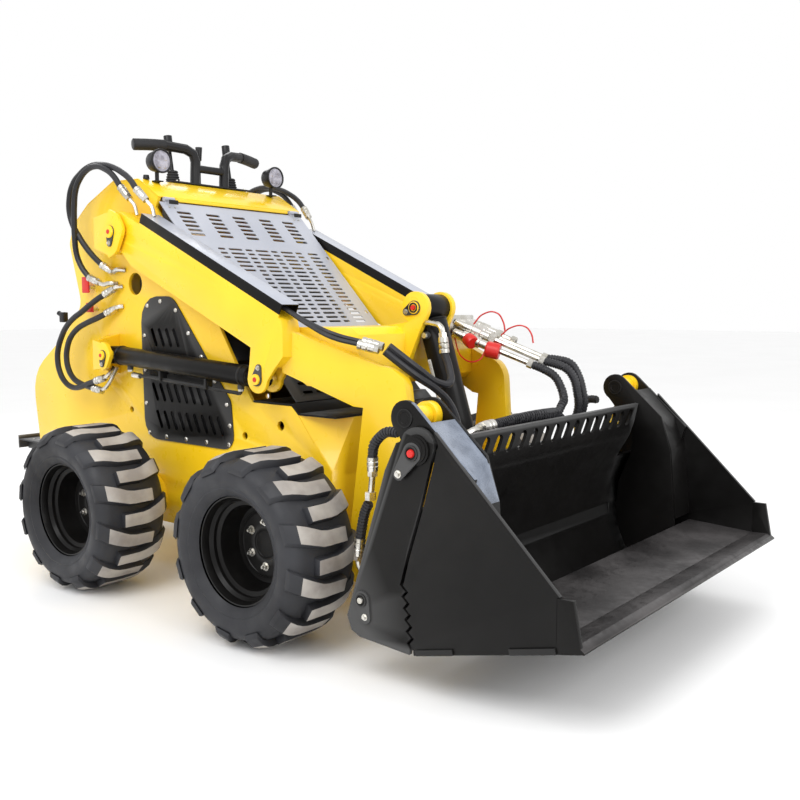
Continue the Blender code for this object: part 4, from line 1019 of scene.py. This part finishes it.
UPPER = [
    [(0.744, 1.128), (0.777, 1.162), (0.819, 1.186), (0.868, 1.198), (0.914, 1.191), (0.955, 1.167),
     (0.980, 1.137), (0.993, 1.096), (1.001, 1.047), (1.007, 0.998), (1.007, 0.948), (0.991, 0.908),
     (0.961, 0.874), (0.925, 0.860)],
    [(0.680, 1.118), (0.709, 1.147), (0.750, 1.172), (0.797, 1.191), (0.851, 1.202), (0.907, 1.203),
     (0.961, 1.186), (1.010, 1.154), (1.033, 1.108), (1.036, 1.072), (1.026, 1.038), (1.006, 1.008),
     (0.978, 0.974), (0.945, 0.942), (0.905, 0.912), (0.885, 0.900)]]
LOWER = [
    [(0.892, 0.822), (0.922, 0.808), (0.956, 0.789), (0.991, 0.768), (1.027, 0.748), (1.060, 0.722),
     (1.090, 0.688), (1.111, 0.650), (1.116, 0.614), (1.106, 0.580), (1.080, 0.550), (1.041, 0.534),
     (1.000, 0.535), (0.945, 0.550), (0.905, 0.560)],
    [(0.892, 0.765), (0.930, 0.750), (0.974, 0.735), (1.014, 0.716), (1.043, 0.690), (1.063, 0.660),
     (1.071, 0.626), (1.062, 0.590), (1.036, 0.562), (1.000, 0.548), (0.960, 0.540), (0.925, 0.536)]]
UPPER_FOOT = [(0.697, 1.075), (0.631, 1.068)]
for side, sign in SIDES.items():
    shape = bmesh.new()
    for i, way in enumerate(UPPER):
        last = len(way) - 1
        x_at = [0.345 - 0.036 * (k / last) ** 3 - 0.008 * i for k in range(last + 1)]
        path = [place(sign * x, s, z) for x, (s, z) in zip(x_at, way)]
        tube(shape, path[:-1], HOSE, 16, 0, 5)
        foot = place(sign * (0.333 - 0.010 * i), *UPPER_FOOT[i])
        run = (foot - path[0]).normalized()
        ferrule(shape, path[0], run, 0.036)
        bend = [path[0] + run * 0.040, foot - run * 0.010, foot, foot + Vector((0, -0.012, -0.030))]
        tube(shape, bend, 0.0052, 12, 1)
        end = path[-1]
        ferrule(shape, path[-2], end - path[-2])
        run = (end - path[-2]).normalized()
        tube(shape, [path[-2] + run * 0.038, end + run * 0.020,
            Vector((sign * 0.300, end.y - 0.052, end.z - 0.004)),
            Vector((sign * 0.285, end.y - 0.066, end.z - 0.006))], PIPE, 12, 1)
    keep(f"boom_hoses_{side}", shape, ["hose", "zinc"], ("chassis", "boom"), replaces=(f"hoses_{side}",),
         blend=(place(sign * 0.33, 0.860, 1.19), place(sign * 0.33, 0.700, 1.10)))
    shape = bmesh.new()
    for i, way in enumerate(LOWER):
        last = len(way) - 1
        x_at = [0.310 + 0.030 * min(1.0, 3 * k / last) - 0.004 * i for k in range(last + 1)]
        path = [place(sign * x, s, z) for x, (s, z) in zip(x_at, way)]
        tube(shape, path, HOSE, 16, 0, 5)
        ferrule(shape, path[0], path[0] - path[1])
        run = (path[0] - path[1]).normalized()
        corner = path[0] + run * 0.052
        tube(shape,
            [path[0] + run * 0.036, corner, Vector((sign * 0.285, corner.y - 0.010, corner.z + 0.002))],
            PIPE, 12, 1)
        ferrule(shape, path[-1], path[-1] - path[-2])
        finish = path[-1] + (path[-1] - path[-2]).normalized() * 0.040
        tube(shape, [finish, finish + Vector((0, -0.030, 0.014)),
                     place(sign * (0.322 - 0.006 * i), 0.842 - 0.012 * i, 0.604)], 0.0062, 12, 1)
    for s, z, high in ((0.985, 0.828, 0.050), (0.966, 0.768, 0.030)):
        block(shape, *route(sign, (0.300, s, z), (0.306, s + 0.036, z + high)), 0.0025, 2)
    for s, z in ((0.985, 0.845), (0.972, 0.778)):
        rod(shape, *route(sign, (BODY_HALF, s, z), (0.302, s, z)), 0.006, sides=12, material=1)
    keep(f"lift_hoses_{side}", shape, ["hose", "zinc", "red"], "chassis")
print("tower hoses made")

# %% [markdown]
# ## Hoses along the boom
# Two hoses on each side leave the front of the guard and cross to the tilt cylinder. On the cross
# member a manifold of quick couplers with red dust caps feeds whatever tool is fitted, and two hoses in
# a spiral guard run from it to the back of the bucket.

# %% Hoses on the boom


def corrugated(shape, points, radius=0.0115, pitch=0.0072, material=0):
    """Add a hose in a spiral guard: a tube with a row of narrow rings along its smooth path."""
    tube(shape, points, radius * 0.86, 14, material, 8)
    knots = [Vector(p) for p in points]
    samples = []
    for k in range(len(knots) - 1):
        before, after = knots[max(k - 1, 0)], knots[min(k + 2, len(knots) - 1)]
        for step in range(24):
            t = step / 24
            samples.append(0.5 * (2 * knots[k] + (knots[k + 1] - before) * t
                                  + (2 * before - 5 * knots[k] + 4 * knots[k + 1] - after) * t * t
                                  + (3 * knots[k] - before - 3 * knots[k + 1] + after) * t ** 3))
    samples.append(knots[-1])
    travelled = 0.0
    for here, ahead in zip(samples, samples[1:]):
        travelled += (ahead - here).length
        if travelled >= pitch:
            travelled -= pitch
            along = (ahead - here).normalized()
            rod(shape, here - along * pitch * 0.30, here + along * pitch * 0.30, radius, sides=10,
                material=material)


shape = bmesh.new()
for i in range(2):
    for sign in (-1, 1):
        x = 0.334 - 0.016 * i
        thin = route(sign, (x, 0.110, 0.788), (x - 0.004, 0.088, 0.777 - 0.004 * i),
            (x - 0.010, 0.020, 0.742), (x - 0.024, -0.050, 0.710 + 0.006 * i),
            (x - 0.050, -0.112, 0.694 + 0.006 * i))
        tube(shape, thin, 0.0055, 12, 0)
        ferrule(shape, thin[-1], thin[-1] - thin[-2], 0.042, 0.0125)
keep("guard_hoses", shape, ["hose", "zinc"], "boom")

shape = bmesh.new()
lower_run = route(-1, (0.250, -0.166, 0.678), (0.225, -0.190, 0.650), (0.190, -0.218, 0.616),
    (0.135, -0.238, 0.580), (0.100, -0.250, 0.545), (0.085, -0.262, 0.500), (0.080, -0.268, 0.450))
tube(shape, lower_run, 0.0098, 16, 0, 8)
ferrule(shape, lower_run[-1], (0, 0, -1), 0.034, 0.0130)
upper_run = route(-1, (0.240, -0.170, 0.690), (0.215, -0.192, 0.664), (0.180, -0.216, 0.632),
    (0.128, -0.236, 0.598), (0.086, -0.240, 0.596), (0.064, -0.222, 0.630), (0.060, -0.204, 0.668))
tube(shape, upper_run, 0.0098, 16, 0, 8)
ferrule(shape, upper_run[-1], (0, 0.12, 1.0), 0.040, 0.0135)
tube(shape, [upper_run[-1] + Vector((0, 0.005, 0.046)), upper_run[-1] + Vector((0, 0.012, 0.066)),
             *route(-1, (0.056, -0.165, 0.742), (0.050, -0.130, 0.744))], 0.0075, 12, 1)
keep("tilt_hoses", shape, ["hose", "zinc"], "boom")

# %% Quick couplers
shape = bmesh.new()
starts = route(1, (0.118, -0.110, 0.742), (0.148, -0.104, 0.744), (0.178, -0.098, 0.746),
    (0.100, -0.118, 0.716))
stops = route(1, (0.196, -0.345, 0.640), (0.226, -0.335, 0.646), (0.206, -0.250, 0.690),
    (0.170, -0.325, 0.632))
block(shape, place(0.092, -0.112, 0.706), place(0.205, -0.066, 0.762), 0.003, 1)
for start, stop in zip(starts, stops):
    run = (stop - start).normalized()
    length = (stop - start).length
    lathe(shape, [(0.0, 0.010), (0.002, 0.0125), (0.026, 0.0125), (0.028, 0.0150), (0.050, 0.0155),
        (0.053, 0.0135), (0.056, 0.0155), (0.078, 0.0155), (0.081, 0.0120), (0.104, 0.0118),
        (0.106, 0.0095), (0.108, 0.0)], start, run, 24, 1)
    rod(shape, start + run * 0.106, start + run * 0.122, 0.0140, sides=6, material=1)
    tube(shape, [start + run * 0.12, start + run * (length * 0.75), stop], 0.0075, 12, 1)
    rod(shape, stop - run * 0.014, stop, 0.0125, sides=6, material=1)
cap_at = place(0.128, -0.205, 0.672)
lathe(shape, [(0.0, 0.0), (0.0, 0.0190), (0.004, 0.0220), (0.034, 0.0220), (0.038, 0.0190), (0.038, 0.0)],
    cap_at, (0.35, -0.85, -0.2), 24, 2)
hidden_cap_at = place(0.108, -0.158, 0.700)
lathe(shape, [(0.0, 0.0), (0.0, 0.0165), (0.004, 0.0185), (0.024, 0.0185), (0.028, 0.0165), (0.028, 0.0)],
    hidden_cap_at, (-0.25, -0.80, -0.45), 24, 2)
for high, start in ((0.026, place(0.135, -0.160, 0.738)), (0.020, place(0.172, -0.225, 0.708))):
    loop = ((0, 0, 0), (0.006, -0.025, high), (0.012, -0.066, high + 0.004), (0.018, -0.082, high * 0.3),
            (0.020, -0.088, -0.020))
    tube(shape, [start + Vector(step) for step in loop], 0.0022, 8, 2, 8)
tube(shape, [cap_at, cap_at + Vector((-0.02, 0.01, -0.030)), cap_at + Vector((-0.030, 0.05, -0.028)),
             place(0.110, -0.110, 0.712)], 0.0020, 8, 2, 8)
keep("quick_couplers", shape, ["zinc", "zinc", "red"], "boom")

# %% Hoses to the bucket
shape = bmesh.new()
COUPLER_WAYS = {
    0: ((0.206, -0.372, 0.634), (0.214, -0.402, 0.622), (0.222, -0.420, 0.596), (0.226, -0.428, 0.560),
        (0.230, -0.430, 0.520), (0.228, -0.415, 0.470)),
    1: ((0.236, -0.362, 0.644), (0.246, -0.396, 0.634), (0.252, -0.416, 0.604), (0.254, -0.428, 0.566),
        (0.256, -0.432, 0.524), (0.254, -0.415, 0.474)),
    3: ((0.176, -0.352, 0.622), (0.182, -0.384, 0.604), (0.186, -0.402, 0.574), (0.180, -0.414, 0.545),
        (0.160, -0.418, 0.530), (0.142, -0.412, 0.500))}
for k, way in COUPLER_WAYS.items():
    corrugated(shape, [stops[k], *route(1, *way)])
keep("coupler_hoses", shape, ["hose"], ("boom", "bucket_back"),
     blend=(place(0.2, -0.385, 0.63), place(0.2, -0.430, 0.50)))
shape = bmesh.new()
for i in range(2):
    corrugated(shape, route(1, (0.100 - 0.02 * i, -0.452, 0.505 + 0.012 * i),
        (0.040, -0.466, 0.519 + 0.008 * i), (-0.060, -0.470, 0.524 + 0.006 * i),
        (-0.160, -0.470, 0.524 + 0.004 * i), (-0.240, -0.468, 0.520 + 0.003 * i)))
    ferrule(shape, place(-0.240, -0.468, 0.520 + 0.003 * i), (-1, 0.05, -0.05), 0.040, 0.0135)
elbow = route(-1, (0.285, -0.466, 0.519), (0.315, -0.462, 0.516), (0.333, -0.452, 0.500),
    (0.336, -0.440, 0.470))
tube(shape, elbow, 0.0075, 12, 1)
for sign in (-1, 1):
    upper = route(sign, (0.455, -0.372, 0.520), (0.457, -0.340, 0.518), (0.460, -0.312, 0.492),
                  (0.460, -0.306, 0.462))
    corrugated(shape, upper)
    ferrule(shape, upper[-1], (0, 0, -1), 0.030, 0.0125)
    tube(shape,
        [upper[-1] + Vector((0, 0, -0.034)), *route(sign, (0.460, -0.302, 0.390), (0.460, -0.300, 0.372))],
        0.0068, 12, 1)
    rod(shape, *route(sign, (0.460, -0.300, 0.386), (0.460, -0.300, 0.368)), 0.0125, sides=6, material=1)
    lower = route(sign, (0.460, -0.296, 0.362), (0.460, -0.284, 0.340), (0.460, -0.276, 0.310),
                  (0.460, -0.270, 0.280))
    corrugated(shape, lower)
    ferrule(shape, lower[-1], (0, 0.12, -1), 0.040, 0.0125)
    tube(shape, [lower[-1] + Vector((0, 0.006, -0.046)),
                 *route(sign, (0.460, -0.268, 0.215), (0.461, -0.290, 0.196))], 0.0068, 12, 1)
keep("bucket_hoses", shape, ["hose", "zinc"], "bucket_back")

# %% [markdown]
# ## Behind the openings
# Matte black liners stand just inside the side plates as painted shade, so that the
# slots look dark. A yellow lip closes the gap between the cowl and the bonnet's hinges.

# %% Liners and lip
# Black sheets set behind the slots as painted shade of the bay's inside.
shape = bmesh.new()
for sign in (-1, 1):
    block(shape, *route(sign, (0.262, 0.345, 0.376), (0.265, 0.775, 0.600)), 0.0008)
    block(shape, *route(sign, (0.262, 0.560, 0.600), (0.265, 0.775, 0.905)), 0.0008)
keep("bay_shade_liners", shape, "plastic", "chassis")
shape = bmesh.new()
block(shape, place(-0.226, 0.6445, 1.0895), place(0.226, 0.6535, 1.0990), 0.0015)
keep("cowl_lip", shape, "yellow", "chassis")
shape = bmesh.new()
rod(shape, place(-0.255, 0.745, 1.160), place(-0.255, 0.745, 1.172), 0.010, 0.008, 20)
block(shape, place(-0.294, 1.150, 0.735), place(-0.276, 1.176, 0.768), 0.003)
rod(shape, place(-0.285, 1.160, 0.752), place(-0.285, 1.190, 0.765), 0.006, 0.008, 14)
keep("small_black_knobs", shape, "plastic", "chassis")
